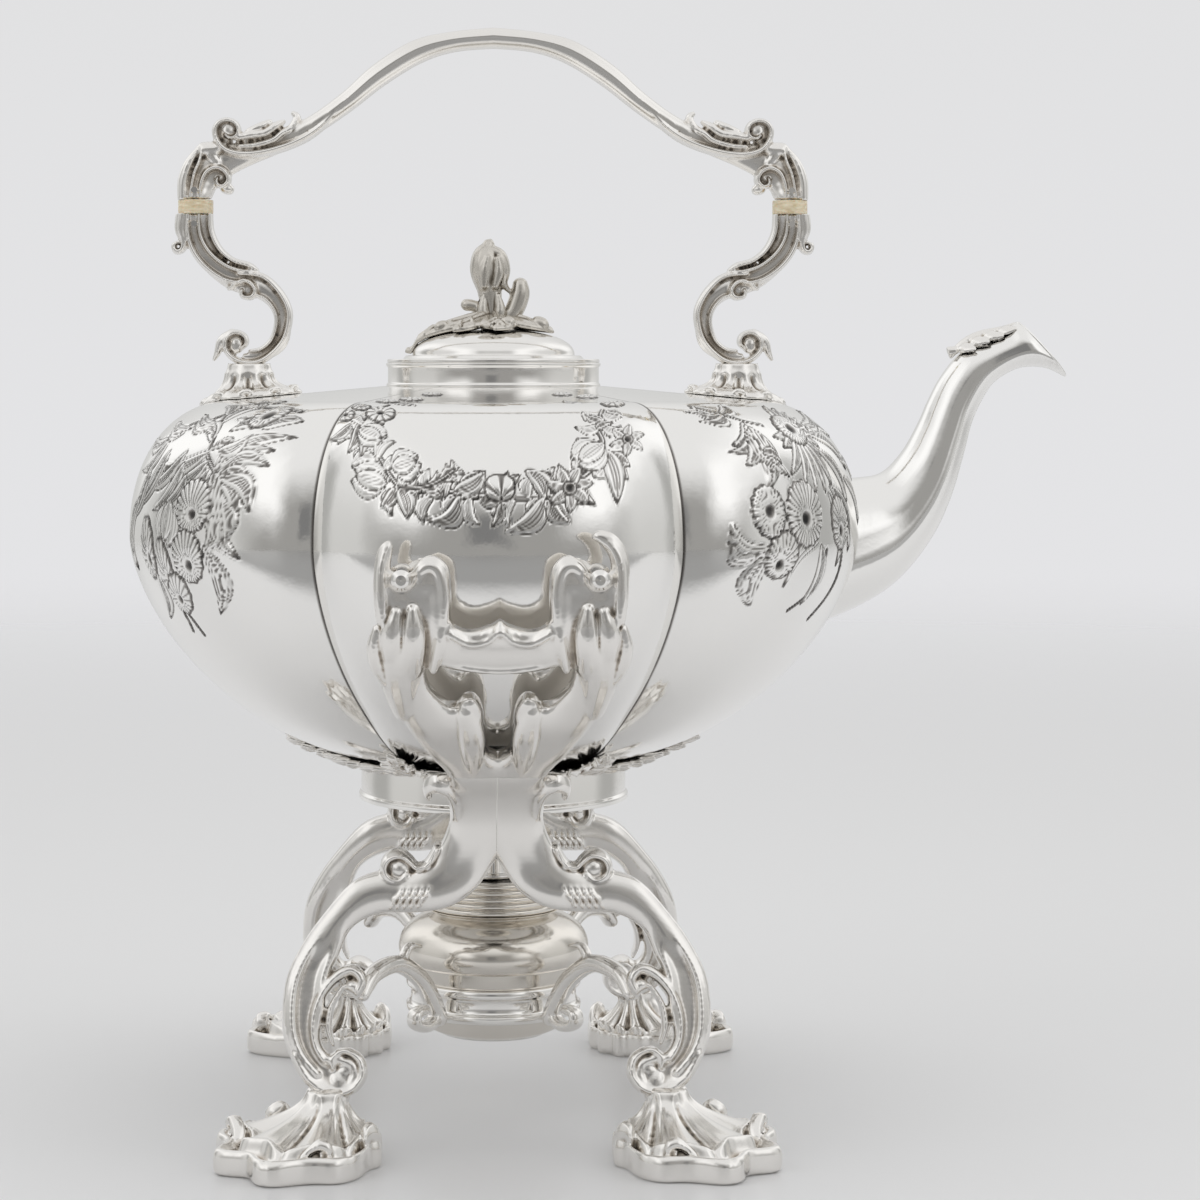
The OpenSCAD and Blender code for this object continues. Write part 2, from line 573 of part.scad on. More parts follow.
// ---------- stand ----------
// Distance of the fork and legs from the kettle's axis plane, at heights above the table
frame_line = [[72, 12], [71.5, 22], [70, 30], [67.5, 42], [65, 52], [62, 64], [59.5, 78], [58.5, 90],
    [61, 104], [68, 114], [78, 122], [hook_y - 31, girth_z - 55], [hook_y - 21, girth_z - 45], [hook_y - 12, girth_z - 35],
    [hook_y - 4.6, girth_z - 25], [hook_y - 0.5, girth_z - 15], [hook_y, girth_z - 5],
    [hook_y, girth_z + 14]];
frame_table = [for (p = frame_line) [p[1], p[0]]];
function on_frame(p) = [for (q = p) [q[0], -lookup(q[1], frame_table), q[1]]];
waist_z = 119;

// The fork's outline from its peak round the hook to the waist, left half, from the table up
hook_flank = [[-34.3, 173], [-36, 168], [-35.6, 161], [-32.5, 151], [-28.2, 140], [-22, 130],
    [-16.2, 122.5], [-14.5, 117]];
rest_hook = [[0, 172.4], [-3, 170], [-9, 168.4], [-13.6, 170.6], [-15.4, 176], [-15, 183], [-15.8, 188],
    [-19.6, 191], [-23.6, 189], [-25.6, 185.6], [-28.7, 184.8], [-31.6, 186], [-31.4, 190],
    [-31.6, 193.4], [-34.4, 195], [-37.4, 191.6], [-38.4, 185.4], [-37.4, 179]];
pivot_hook = [[0, 172.4], [3, 170], [9, 168.4], [13.6, 170.6], [14.8, 176], [14.4, 183], [15.6, 188],
    [19.4, 190.6], [23.4, 188.2], [25.6, 184.8], [28.7, 184.4], [31.8, 185.6], [31.6, 189.6],
    [29.4, 193], [26.4, 195.4], [28.4, 197.4], [33, 196.4], [37, 192], [38.6, 186], [37.6, 179]];
fork_window = [[-21.4, 157], [-19.6, 158.4], [-10, 156.2], [0, 155.6], [10, 156.2], [19.6, 158.4],
    [21.4, 157], [20.4, 150.6], [16.4, 145.6], [12.6, 144.4], [10.6, 146.8], [7.4, 147.2], [5.6, 143],
    [5, 135], [3.4, 127.6], [0, 125.6], [-3.4, 127.6], [-5, 135], [-5.6, 143], [-7.4, 147.2],
    [-10.6, 146.8], [-12.6, 144.4], [-16.4, 145.6], [-20.4, 150.6]];
notch_d = pin_d + 2 * run_gap;

// Girth height at which the fork is drawn, and the height above which its hooks keep their shape
drawn_girth = 190;
hooks_z = 150;
function on_fork(line) = [for (p = line)
    [p[0], p[1] + (girth_z - drawn_girth) * min(max((p[1] - waist_z) / (hooks_z - waist_z), 0), 1)]];
module fork_outline() {
    left = smooth(concat(rest_hook, hook_flank), 2);
    right = smooth(concat(pivot_hook, turned(hook_flank)), 2);
    difference() {
        polygon(on_fork(concat(left, [for (i = [len(right) - 1 : -1 : 1]) right[i]])));
        polygon(on_fork(smooth_loop(fork_window, 2)));
        translate([-pin_x, girth_z + pin_z]) notch(0);
        translate([pin_x, girth_z + pin_z]) notch(27);
    }
}
// Round seat for a pin, open along the way by which the pin lifts out
module notch(lean) {
    circle(d = notch_d, $fn = 48);
    rotate(lean) translate([-notch_d / 2, 0]) square([notch_d, 7]);
}
// The fork's curve and thickness seen from the side
module fork_side() {
    line = smooth([for (p = frame_line) if (p[1] >= waist_z - 6) p], 2);
    n = len(line);
    t = [for (p = line) lookup(p[1], [[waist_z, waist_t], [girth_z - 20, hook_t]]) / 2];
    normal = [for (i = [0 : n - 1]) let (d = unit(line[min(i + 1, n - 1)] - line[max(i - 1, 0)]))
        [d[1], -d[0]]];
    polygon(concat([for (i = [0 : n - 1]) line[i] + normal[i] * t[i]],
        [for (i = [n - 1 : -1 : 0]) line[i] - normal[i] * t[i]]));
}
module fork() {
    color(silver) difference() {
        intersection() {
            rotate([90, 0, 0]) linear_extrude(200) fork_outline();
            rotate([0, 0, -90]) rotate([90, 0, 0]) linear_extrude(100, center = true) fork_side();
        }
        translate([-60, -100, waist_z - 20]) cube([120, 100, 20]);
    }
}
module front_fork() { fork(); }
module rear_fork() { mirrored_y() fork(); }

leg_outer = [[-15.6, 123], [-14.5, 118.6], [-15.6, 112], [-14.6, 103.5], [-16.9, 96.3], [-21.6, 89.6], [-28, 86.4],
    [-36.5, 86.8], [-45.4, 83.2], [-54.5, 73.1], [-60.6, 64.6], [-65.2, 55.4], [-66.7, 46.3],
    [-66.3, 37.2], [-63.2, 29.4], [-57.3, 24], [-50, 22.6]];
leg_inner = [[-0.02, 123], [-0.02, 118.6], [-0.02, 109], [-0.2, 98], [-1.4, 90.6], [-6.5, 81], [-14.4, 75.8],
    [-24, 74], [-36.7, 73.6], [-45.5, 69], [-49.5, 60.5], [-52, 54], [-53, 45.5], [-55.4, 37],
    [-54.6, 32], [-52, 29.4], [-49, 28.8]];
leg_depth = [0.8, 0.8, 0.9, 1, 1, 1, 1, 1, 1, 0.95, 0.92, 0.9, 0.88, 0.85, 0.85, 0.8, 0.75];
module leg() {
    color(silver) difference() {
        leg_casting();
        translate([-100, -100, waist_z - touch]) cube([200, 100, 20]);
    }
}
module leg_casting() {
    casting(on_frame(leg_outer), on_frame(leg_inner), [for (d = leg_depth) d * leg_t], 10, 1);
    // shoulder curl, waist curl, knee scroll and heel scroll
    scroll_eye(-31, 88, 4.2, leg_t - 1, -58.6);
    casting(on_frame([[-14, 106], [-16.4, 112], [-20.4, 113.4], [-22.8, 110.4]]),
        on_frame([[-12, 116], [-16, 118], [-22.6, 117], [-24.2, 112.6]]), [7, 7, 6, 3], 6, 1);
    casting(on_frame([[-52, 55], [-46.5, 57.5], [-41.8, 54.6], [-42.8, 48.6]]),
        on_frame([[-52, 46], [-47.5, 50.5], [-46.4, 52.4], [-45.4, 49.4]]), [8, 8, 7, 6], 6, 1);
    scroll_eye(-44.8, 50.6, 3.6, leg_t - 2, -66.4);
    casting(on_frame([[-54, 50], [-51.8, 43], [-49.5, 38], [-46.8, 33]]),
        on_frame([[-57, 46], [-56.4, 37.5], [-53.5, 31], [-49, 28]]), [6, 7, 7, 7], 6, 1);
    scroll_eye(-48, 28.9, 6.6, leg_t - 1, -70.4);
    // stem down into the foot
    translate([-48, -71, 17.5]) cylinder(d = 7, h = 8, $fn = 32);
}
module leg_front_left() { leg(); }
module leg_front_right() { mirrored_x() leg(); }
module leg_rear_left() { mirrored_y() leg(); }
module leg_rear_right() { mirrored_x() mirrored_y() leg(); }

// A fan-shaped shell: the ankle is near its heel, and the flutes run out to a scalloped rim
ankle = [-50, -71];
foot_dir = 220;           // the way that the shell points, seen from above
foot_steps = 45;
function foot_r(w) = let (c = cos(w - foot_dir)) 13 + (foot_reach - 13) * pow((1 + c) / 2, 1.7);
function foot_wave(w) = abs(sin((w - foot_dir) * foot_flutes / 2 + 90));
function foot_ring(reach, z, wave, lift) = [for (j = [0 : foot_steps - 1])
    let (w = 360 * j / foot_steps, q = foot_r(w) * reach * (1 - wave * (1 - foot_wave(w))))
    [ankle[0] + q * cos(w), ankle[1] + q * sin(w), z + lift * foot_wave(w)]];
module foot() {
    color(silver) difference() {
        skin([foot_ring(0.94, 0, 0.1, 0), foot_ring(1, 1.6, 0.1, 0), foot_ring(0.98, foot_rim_h, 0.1, 0.8),
            foot_ring(0.84, foot_rim_h + 0.8, 0.06, 2), foot_ring(0.6, foot_rim_h + 3, 0.04, 2.6),
            foot_ring(0.36, foot_rim_h + 7, 0.03, 1.6), foot_ring(0.23, ankle_h - 7, 0, 0.6),
            foot_ring(0.2, ankle_h - 1.8, 0, 0)]);
        translate([-48, -71, 17.5 - touch]) cylinder(d = 7 + 2 * touch, h = 12, $fn = 32);
        translate([-48, -70.4, 28.9]) rotate([90, 0, 0])
            cylinder(r = 6.6 + touch, h = 40, center = true, $fn = 32);
    }
}
module foot_front_left() { foot(); }
module foot_front_right() { mirrored_x() foot(); }
module foot_rear_left() { mirrored_y() foot(); }
module foot_rear_right() { mirrored_x() mirrored_y() foot(); }

// ---------- lamp ring and arms ----------
ring_top = ring_z + ring_h;
module lamp_ring() {
    color(silver) rotate_extrude($fn = 96) polygon([
        [ring_r - ring_t, ring_z], [ring_r - 0.6, ring_z], [ring_r, ring_z + 1], [ring_r, ring_z + 2.4],
        [ring_r - 1.1, ring_z + 3.4], [ring_r - 1.4, ring_z + ring_h / 2], [ring_r - 1.1, ring_top - 3.4],
        [ring_r, ring_top - 2.4], [ring_r, ring_top - 0.8], [ring_r - 0.6, ring_top],
        [ring_r - ring_t, ring_top]]);
}
module ring_arm() {
    w = atan2(-48, -34);
    foot_of_arm = [ring_r * cos(w), ring_r * sin(w)];
    leg_side = [-43, -61.4];
    function along(s, z) = let (p = foot_of_arm + (leg_side - foot_of_arm) * s) [p[0], p[1], z];
    color(silver) {
        casting([along(-0.01, 34), along(0.08, 41), along(0.3, 52), along(0.6, 58), along(0.88, 56), along(1.02, 50)],
            [along(0.2, 32), along(0.26, 38), along(0.4, 46), along(0.6, 51.5), along(0.84, 50), along(0.92, 46)],
            [5, 5, 5, 5, 5, 4], 8, 2);
        translate(along(0.27, 34)) rotate([90, 0, atan2(leg_side[1] - foot_of_arm[1],
            leg_side[0] - foot_of_arm[0])]) cylinder(r = 3.4, h = 5, center = true, $fn = 32);
    }
}
module ring_arm_front_left() { ring_arm(); }
module ring_arm_front_right() { mirrored_x() ring_arm(); }
module ring_arm_rear_left() { mirrored_y() ring_arm(); }
module ring_arm_rear_right() { mirrored_x() mirrored_y() ring_arm(); }

// ---------- lamp ----------
lamp_mid = ring_top + 10;
globe_top = ring_top + lamp_h;
filler_r = 16;
function globe(r, low, high, steps) = [for (i = [0 : steps]) let (a = -62 + 124 * i / steps)
    [r * pow(cos(a), 0.62), lamp_mid + (a < 0 ? lamp_mid - low : high - lamp_mid) * sin(a) / sin(62)]];
bowl_r = ring_r - ring_t - 0.3;
module lamp_body() {
    w = lamp_wall;
    color(silver) rotate_extrude($fn = 96) polygon(concat(
        [[0, ring_top - bowl_h], [bowl_r - 8, ring_top - bowl_h], [bowl_r - 4, ring_top - bowl_h + 2],
            [bowl_r - 0.8, ring_top - bowl_h + 8], [bowl_r, ring_top - 4], [bowl_r, ring_top]],
        [[ring_r - 1.2, ring_top + touch]],
        [for (p = globe(lamp_r, ring_top + 1.4, globe_top - 1.5, 12)) if (p[0] > ring_r - 1.2 || p[1] > lamp_mid) p],
        [[burner_r + 0.5, globe_top], [filler_r, globe_top], [filler_r, globe_top - w - 0.4]],
        [for (i = [12 : -1 : 0]) let (p = globe(lamp_r - w, ring_top + 1.6, globe_top - w - 1.5, 12)[i])
            if (p[0] > filler_r + 1) p],
        [[bowl_r - w, ring_top - 0.6], [bowl_r - w, ring_top - 4], [bowl_r - 1.2 - w, ring_top - bowl_h + 8.2],
            [bowl_r - 4.6 - w, ring_top - bowl_h + 2.4 + w], [bowl_r - 8, ring_top - bowl_h + w],
            [0, ring_top - bowl_h + w]]));
}
module lamp_collar() {
    z = globe_top + touch;
    tube_r = wick_tube_d / 2 + touch;
    reed = burner_h / 5;
    color(silver) rotate_extrude($fn = 96) difference() {
        union() {
            for (i = [0 : 4]) translate([0, z + i * reed])
                square([burner_r - i * 1.15 - 0.5, reed]);
            for (i = [0 : 4]) translate([burner_r - i * 1.15 - reed / 2, z + (i + 0.5) * reed])
                circle(r = reed / 2, $fn = 24);
            translate([0, z - 4]) square([filler_r - 2 * touch, 5]);
        }
        translate([-30, z - 10]) square([30 + tube_r, 40]);
    }
}
module wick_tube() {
    z = globe_top + burner_h;
    color(silver) rotate_extrude() polygon([
        [wick_tube_d / 2 - wick_tube_wall, z - burner_h - 8], [wick_tube_d / 2, z - burner_h - 8],
        [wick_tube_d / 2, z + 5], [wick_tube_d / 2 - wick_tube_wall, z + 5]]);
}
module wick() {
    z = globe_top + burner_h;
    color(cotton) translate([0, 0, z - burner_h - 26])
        cylinder(d = wick_tube_d - 2 * wick_tube_wall - 2 * touch, h = burner_h + 32.5, $fn = 48);
}
module snuffer_cap() {
    z = globe_top + burner_h + 2 * touch;
    bore = wick_tube_d / 2 + 0.3;
    r = bore + snuffer_wall;
    color(silver) rotate_extrude() polygon([
        [bore, z], [r + 1.2, z], [r + 1.2, z + 1.2], [r, z + 2], [r, z + snuffer_h - 2.2],
        [r - 1.4, z + snuffer_h - 0.8], [2.4, z + snuffer_h - 0.4], [2.4, z + snuffer_h + 0.6],
        [0, z + snuffer_h + 1.2], [0, z + snuffer_h - snuffer_wall - 0.6],
        [bore - 0.8, z + snuffer_h - snuffer_wall - 1], [bore, z + snuffer_h - snuffer_wall - 2]]);
}

place() kettle_body();
place() foot_rim();
place() base_foliage();
place() neck_collar();
place() spout();
place() spout_leaf();
place() pivot_pins();
place() rest_pins();
place() handle_socket_left();
place() handle_socket_right();
place() lower_arm_left();
place() lower_arm_right();
place() insulator_left();
place() insulator_right();
place() insulator_pins();
place() socket_pins();
place() handle_grip();
place() hinge_body_knuckles();
place() lid();
place() hinge_lid_knuckle();
place() hinge_pin();
place() finial_leaves();
place() finial_bud();
place() finial_nut();
place() front_fork();
place() rear_fork();
place() leg_front_left();
place() leg_front_right();
place() leg_rear_left();
place() leg_rear_right();
place() foot_front_left();
place() foot_front_right();
place() foot_rear_left();
place() foot_rear_right();
place() lamp_ring();
place() ring_arm_front_left();
place() ring_arm_front_right();
place() ring_arm_rear_left();
place() ring_arm_rear_right();
place() lamp_body();
place() lamp_collar();
place() wick_tube();
place() wick();
place() snuffer_cap();
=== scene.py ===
# %% [markdown]
# # A silver spirit kettle on its stand
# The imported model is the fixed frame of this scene. It is loaded first, and every piece made below
# rides on one of its bodies: the stand, the kettle, the lid, the lamp or the snuffer.

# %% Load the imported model
import math

import bmesh
import bpy
import numpy as np
from mathutils import Matrix, Vector


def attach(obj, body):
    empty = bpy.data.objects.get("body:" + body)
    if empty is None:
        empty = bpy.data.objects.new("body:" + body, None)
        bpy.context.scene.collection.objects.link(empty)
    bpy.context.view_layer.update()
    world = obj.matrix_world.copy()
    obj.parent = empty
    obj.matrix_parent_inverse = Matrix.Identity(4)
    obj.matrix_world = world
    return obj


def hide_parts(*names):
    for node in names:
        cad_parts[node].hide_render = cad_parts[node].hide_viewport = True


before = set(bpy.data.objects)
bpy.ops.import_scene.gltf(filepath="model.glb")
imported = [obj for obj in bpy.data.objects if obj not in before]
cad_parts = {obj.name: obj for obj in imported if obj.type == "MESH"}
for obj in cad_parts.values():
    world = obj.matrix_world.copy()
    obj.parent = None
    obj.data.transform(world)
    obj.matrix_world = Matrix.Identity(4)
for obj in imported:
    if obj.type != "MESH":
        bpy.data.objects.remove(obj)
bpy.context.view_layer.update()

# %% [markdown]
# ## Measures
# The kettle is drawn in millimetres about its own upright axis, with the spout towards +X and the
# front of the stand towards -Y. Heights on the kettle are counted from its widest girth. The same
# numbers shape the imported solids, so each new piece lands where its solid is.

# %% Measures
MM = 0.001
AXIS_X = -36.1294
GIRTH = 190.0
RIM_R, RIM_H = 44.0, 15.0
BODY_R, BELLY_H = 122.5, 73.0
SHOULDER_R, SHOULDER_H = 87.0, 44.0
COLLAR_R, COLLAR_Z, COLLAR_H, MOUTH_R = 35.0, 48.5, 7.5, 29.0
GROOVE = 11.0 / 122.5
PIN_X, PIN_Z = 28.7, 183.4
LID_Z = COLLAR_Z + COLLAR_H
RING_TOP = 42.0
GLOBE_TOP = 65.0
WAIST_Z = 119.0
# powers that bow the profile below and above the girth, and round the lobes from groove to groove
BELLY_BOW, SHOULDER_BOW, LOBE_BOW = 2 / 1.62, 2 / 2.2, 3.5

# %% [markdown]
# ## Drawing tools
# Most of the silver here was cast or raised, so almost every piece is a skin through a row of
# cross-sections. `smooth_line` turns a few measured points into a flowing curve. `sweep` starts
# from a circle and extrudes its edge from one cross-section to the next. `stroke` is one modelled
# ridge, leaf or stem, and `melt` joins overlapping strokes into one skin, as a mould does.


# %% Curves
def smooth_line(points, steps, closed=False):
    """A flowing curve through the points, with some steps from one to the next."""
    p = np.array(points, float)
    n = len(p)
    t = (np.arange(steps) / steps)[:, None]
    out = []
    for i in range(n if closed else n - 1):
        near = [i - 1, i, i + 1, i + 2]
        a, b, c, d = (p[k % n] if closed else p[min(max(k, 0), n - 1)] for k in near)
        out.append(0.5 * (2 * b + (c - a) * t + (2 * a - 5 * b + 4 * c - d) * t**2
                          + (3 * b - a - 3 * c + d) * t**3))
    if not closed:
        out.append(p[-1:])
    return np.vstack(out)


def fade(x):
    t = np.clip(x, 0, 1)
    return t * t * (3 - 2 * t)


def along(values, n):
    """Values spread evenly over n stations."""
    values = np.atleast_1d(np.array(values, float))
    if len(values) == 1:
        return np.full(n, values[0])
    return smooth_line(np.repeat(values[:, None], 2, 1), 12)[
        np.linspace(0, 12 * (len(values) - 1), n).round().astype(int), 0]


# %% Skins
def sweep(bm, rings, ends=True):
    """Draws a skin through cross-sections that all have the same number of points."""
    verts = bmesh.ops.create_circle(bm, segments=len(rings[0]), radius=1)["verts"]
    for v, p in zip(verts, rings[0]):
        v.co = p
    first = list(dict.fromkeys(e for v in verts for e in v.link_edges))
    edges = first
    for ring in rings[1:]:
        made = bmesh.ops.extrude_edge_only(bm, edges=edges)["geom"]
        place = {v: i for i, v in enumerate(verts)}
        fresh = [None] * len(verts)
        for g in made:
            if isinstance(g, bmesh.types.BMVert):
                old = next(e.other_vert(g) for e in g.link_edges if e.other_vert(g) in place)
                fresh[place[old]] = g
        edges = [g for g in made if isinstance(g, bmesh.types.BMEdge)
                 and g.verts[0] not in place and g.verts[1] not in place]
        verts = fresh
        for v, p in zip(verts, ring):
            v.co = p
    if ends:
        bmesh.ops.edgeloop_fill(bm, edges=first)
        bmesh.ops.edgeloop_fill(bm, edges=edges)


def full(x, power):
    return np.sign(x) * np.abs(x) ** power


def stroke(bm, path, width, depth, to, sides=12, steps=4, lift=0.0, power=0.85, tips=True):
    """One modelled ridge: width is across it in the casting's plane, depth is through it."""
    line = smooth_line(path, steps)
    n = len(line)
    w, d, up = along(width, n) / 2, along(depth, n) / 2, along(lift, n)
    t = np.gradient(line, axis=0)
    t /= np.linalg.norm(t, axis=1)[:, None]
    stations = [(line[i], t[i], w[i], d[i], up[i], 1.0) for i in range(n)]
    if tips:
        for k, at in ((0, 0), (-1, n - 1)):
            r = min(w[at], d[at]) * (1 if k else -1)
            for a in (30, 55, 80):
                a = math.radians(a)
                s = (line[at] + t[at] * r * math.sin(a), t[at], w[at], d[at], up[at], math.cos(a))
                stations.insert(0, s) if k == 0 else stations.append(s)
    a = np.arange(sides) * 2 * np.pi / sides
    c, s = full(np.cos(a), power), full(np.sin(a), power)
    rings = []
    for p, q, hw, hd, h, k in stations:
        x = p[0] - q[1] * hw * k * c
        z = p[1] + q[0] * hw * k * c
        rings.append(to(x, z, h + hd * k * s))
    sweep(bm, rings)


def strokes(bm, to, table, **settings):
    """A row of full round ridges: the path, width and depth of each, and its lift if it has one."""
    for path, width, depth, *lift in table:
        stroke(bm, path, width, depth, to, lift=lift[0] if lift else 0.0, power=1, **settings)


def between(bm, edge_a, edge_b, depth, to, sides=14, steps=4, power=0.8):
    """A casting that lies between two edge lines."""
    a, b = smooth_line(edge_a, steps), smooth_line(edge_b, steps)
    d = along(depth, len(a)) / 2
    turn = np.arange(sides) * 2 * np.pi / sides
    c, s = full(np.cos(turn), power)[:, None], full(np.sin(turn), power)
    flat = [(a[i] + b[i]) / 2 + (b[i] - a[i]) / 2 * c for i in range(len(a))]
    sweep(bm, [to(p[:, 0], p[:, 1], d[i] * s) for i, p in enumerate(flat)])


def upright(side):
    """The plane through handle and spout; side 1 draws on the left and -1 on the right."""
    return lambda x, z, d: np.stack([side * x, d, z], -1)


def mirrored_line(line):
    return [[-x, z] for x, z in line]


# %% Plates
CELL = 0.6


def edge_field(x, z, loops):
    """Distance in from the nearest edge of some closed outlines, and the nearest point of that edge."""
    best, px, pz = np.full(x.shape, 1e9), x.copy(), z.copy()
    within = np.zeros(x.shape, bool)
    for loop in loops:
        loop = np.array(loop, float)
        for (x0, z0), (x1, z1) in zip(loop, np.roll(loop, -1, 0)):
            dx, dz = x1 - x0, z1 - z0
            k = np.clip(((x - x0) * dx + (z - z0) * dz) / (dx * dx + dz * dz + 1e-12), 0, 1)
            qx, qz = x0 + k * dx, z0 + k * dz
            far = np.hypot(x - qx, z - qz)
            hit = far < best
            best, px, pz = np.where(hit, far, best), np.where(hit, qx, px), np.where(hit, qz, pz)
            if z0 != z1:
                within ^= ((z0 > z) != (z1 > z)) & (x < dx * (z - z0) / dz + x0)
    return np.where(within, best, -best), px, pz


def plate(bm, loops, half, to):
    """A casting cut to closed outlines; half gives its half thickness from the distance to the edge."""
    low = np.min([np.min(p, 0) for p in loops], 0) - CELL
    high = np.max([np.max(p, 0) for p in loops], 0) + CELL
    flat = bmesh.new()
    nx, nz = (int(v) + 1 for v in (high - low) / CELL)
    bmesh.ops.create_grid(flat, x_segments=nx, y_segments=nz, size=1)
    at = np.array([v.co[:2] for v in flat.verts]) * (high - low) / 2 + (low + high) / 2
    x, z = at[:, 0], at[:, 1]
    inside, px, pz = edge_field(x, z, loops)
    near = np.abs(inside) < 0.72 * CELL
    x, z, inside = np.where(near, px, x), np.where(near, pz, z), np.where(near, 0, inside)
    thick = half(inside, x, z)
    flat.verts.ensure_lookup_table()
    for v, a, b, t in zip(flat.verts, x, z, thick):
        v.co = (a, t, b)
    bmesh.ops.delete(flat, geom=[v for v, d in zip(flat.verts, inside) if d < 0], context="VERTS")
    raised = bmesh.ops.extrude_face_region(flat, geom=flat.faces[:])["geom"]
    front = {v for v in raised if isinstance(v, bmesh.types.BMVert)}
    co = np.array([(v.co.x, v.co.z, v.co.y if v in front else -v.co.y) for v in flat.verts])
    for v, where in zip(flat.verts, to(co[:, 0], co[:, 1], co[:, 2])):
        v.co = where
    mesh = as_mesh(flat, "plate")
    bm.from_mesh(mesh)
    bpy.data.meshes.remove(mesh)


def rounded_edge(inside, radius, wall):
    """Share of the full thickness: a low wall at the edge, then a quarter round."""
    k = 1 - np.clip(inside / radius, 0, 1)
    return wall + (1 - wall) * np.sqrt(1 - k**2)


# %% Joining strokes
def as_mesh(bm, name):
    mesh = bpy.data.meshes.new(name)
    bm.to_mesh(mesh)
    bm.free()
    return mesh


def placed(name, data):
    obj = bpy.data.objects.new(name, data)
    bpy.context.scene.collection.objects.link(obj)
    return obj


def melt(bm, voxel, rounds):
    """Joins the overlapping strokes of bm into one skin and softens it."""
    bmesh.ops.recalc_face_normals(bm, faces=bm.faces)
    drawn = as_mesh(bm, "strokes")
    obj = placed("strokes", drawn)
    join = obj.modifiers.new("join", "REMESH")
    join.mode, join.voxel_size = "VOXEL", voxel
    made = bpy.data.meshes.new_from_object(obj.evaluated_get(bpy.context.evaluated_depsgraph_get()))
    bpy.data.objects.remove(obj)
    bpy.data.meshes.remove(drawn)
    bm = bmesh.new()
    bm.from_mesh(made)
    bpy.data.meshes.remove(made)
    for _ in range(rounds):
        bmesh.ops.smooth_vert(bm, verts=bm.verts, factor=0.5,
                              use_axis_x=True, use_axis_y=True, use_axis_z=True)
    return bm


def cut(bm, at, way, above):
    """Cuts off all that is above a plane, or below it, and gives back the edges of the cut."""
    made = bmesh.ops.bisect_plane(bm, geom=bm.verts[:] + bm.edges[:] + bm.faces[:], plane_co=at,
                                  plane_no=way,
                                  clear_outer=above, clear_inner=not above)["geom_cut"]
    return [g for g in made if isinstance(g, bmesh.types.BMEdge)]


def trimmed(bm, z, above):
    """Cuts a casting flat where it meets the next one."""
    bmesh.ops.edgeloop_fill(bm, edges=cut(bm, (0, 0, z), (0, 0, 1), above))
    return bm


def turned(bm, x=1, y=1):
    """A mirrored copy, its faces still pointing outwards."""
    bm = bm.copy()
    bmesh.ops.scale(bm, vec=(x, y, 1), verts=bm.verts)
    if x * y < 0:
        bmesh.ops.reverse_faces(bm, faces=bm.faces)
    return bm


# %% [markdown]
# ## Hollows: tarnish and painted shade
# Polish never reaches the bottom of a scroll or a chased line, so silver tarnishes dark there; the
# same darkening in the scrolls and grooves is also painted shade. Each mesh stores how dark its
# hollows are at each point, in an attribute that the silver finish reads. A second attribute marks
# the backs of castings, which nobody polished.


def points_of(mesh, what="co"):
    out = np.empty(len(mesh.vertices) * 3, np.float32)
    mesh.vertices.foreach_get(what, out)
    return out.reshape(-1, 3)


def hollows_of(mesh, rounds):
    """How sharply concave the surface is (one over the radius), and how deep its channels are (mm)."""
    co, no, n = points_of(mesh).astype(float), points_of(mesh, "normal"), len(mesh.vertices)
    ends = np.empty(len(mesh.edges) * 2, np.int32)
    mesh.edges.foreach_get("vertices", ends)
    ends = ends.reshape(-1, 2)
    count = np.maximum(np.bincount(ends.ravel(), minlength=n), 1)

    def near(v):
        return (np.bincount(ends[:, 0], v[ends[:, 1]], n)
                + np.bincount(ends[:, 1], v[ends[:, 0]], n)) / count

    gap2 = ((co[ends[:, 0]] - co[ends[:, 1]]) ** 2).sum(1)
    gap2 = (np.bincount(ends[:, 0], gap2, n) + np.bincount(ends[:, 1], gap2, n)) / count
    soft = np.stack([near(co[:, k]) for k in range(3)], 1)
    bend = 2 * ((soft - co) * no).sum(1) / np.maximum(gap2, 1e-9)
    for _ in range(5):
        bend = near(bend)
    for _ in range(rounds):
        soft = np.stack([near(soft[:, k]) for k in range(3)], 1)
    return bend, ((soft - co) * no).sum(1)


def store(mesh, name, values):
    layer = mesh.attributes.new(name, "FLOAT", "POINT")
    layer.data.foreach_set("value", np.ascontiguousarray(values, np.float32))


def finish_mesh(name, mesh, body, node, material):
    """Places a mesh drawn in millimetres, and gives it its finish, its body and the node it replaces."""
    lift = GIRTH * MM if body in ("kettle", "lid") else 0.0
    mesh.name = name
    mesh.transform(Matrix.Translation((AXIS_X * MM, 0, lift)) @ Matrix.Scale(MM, 4))
    mesh.shade_smooth()
    mesh.materials.clear()
    mesh.materials.append(material)
    obj = placed(name, mesh)
    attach(obj, body)
    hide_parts(node)
    print(f"{name}: {len(mesh.polygons)} faces")


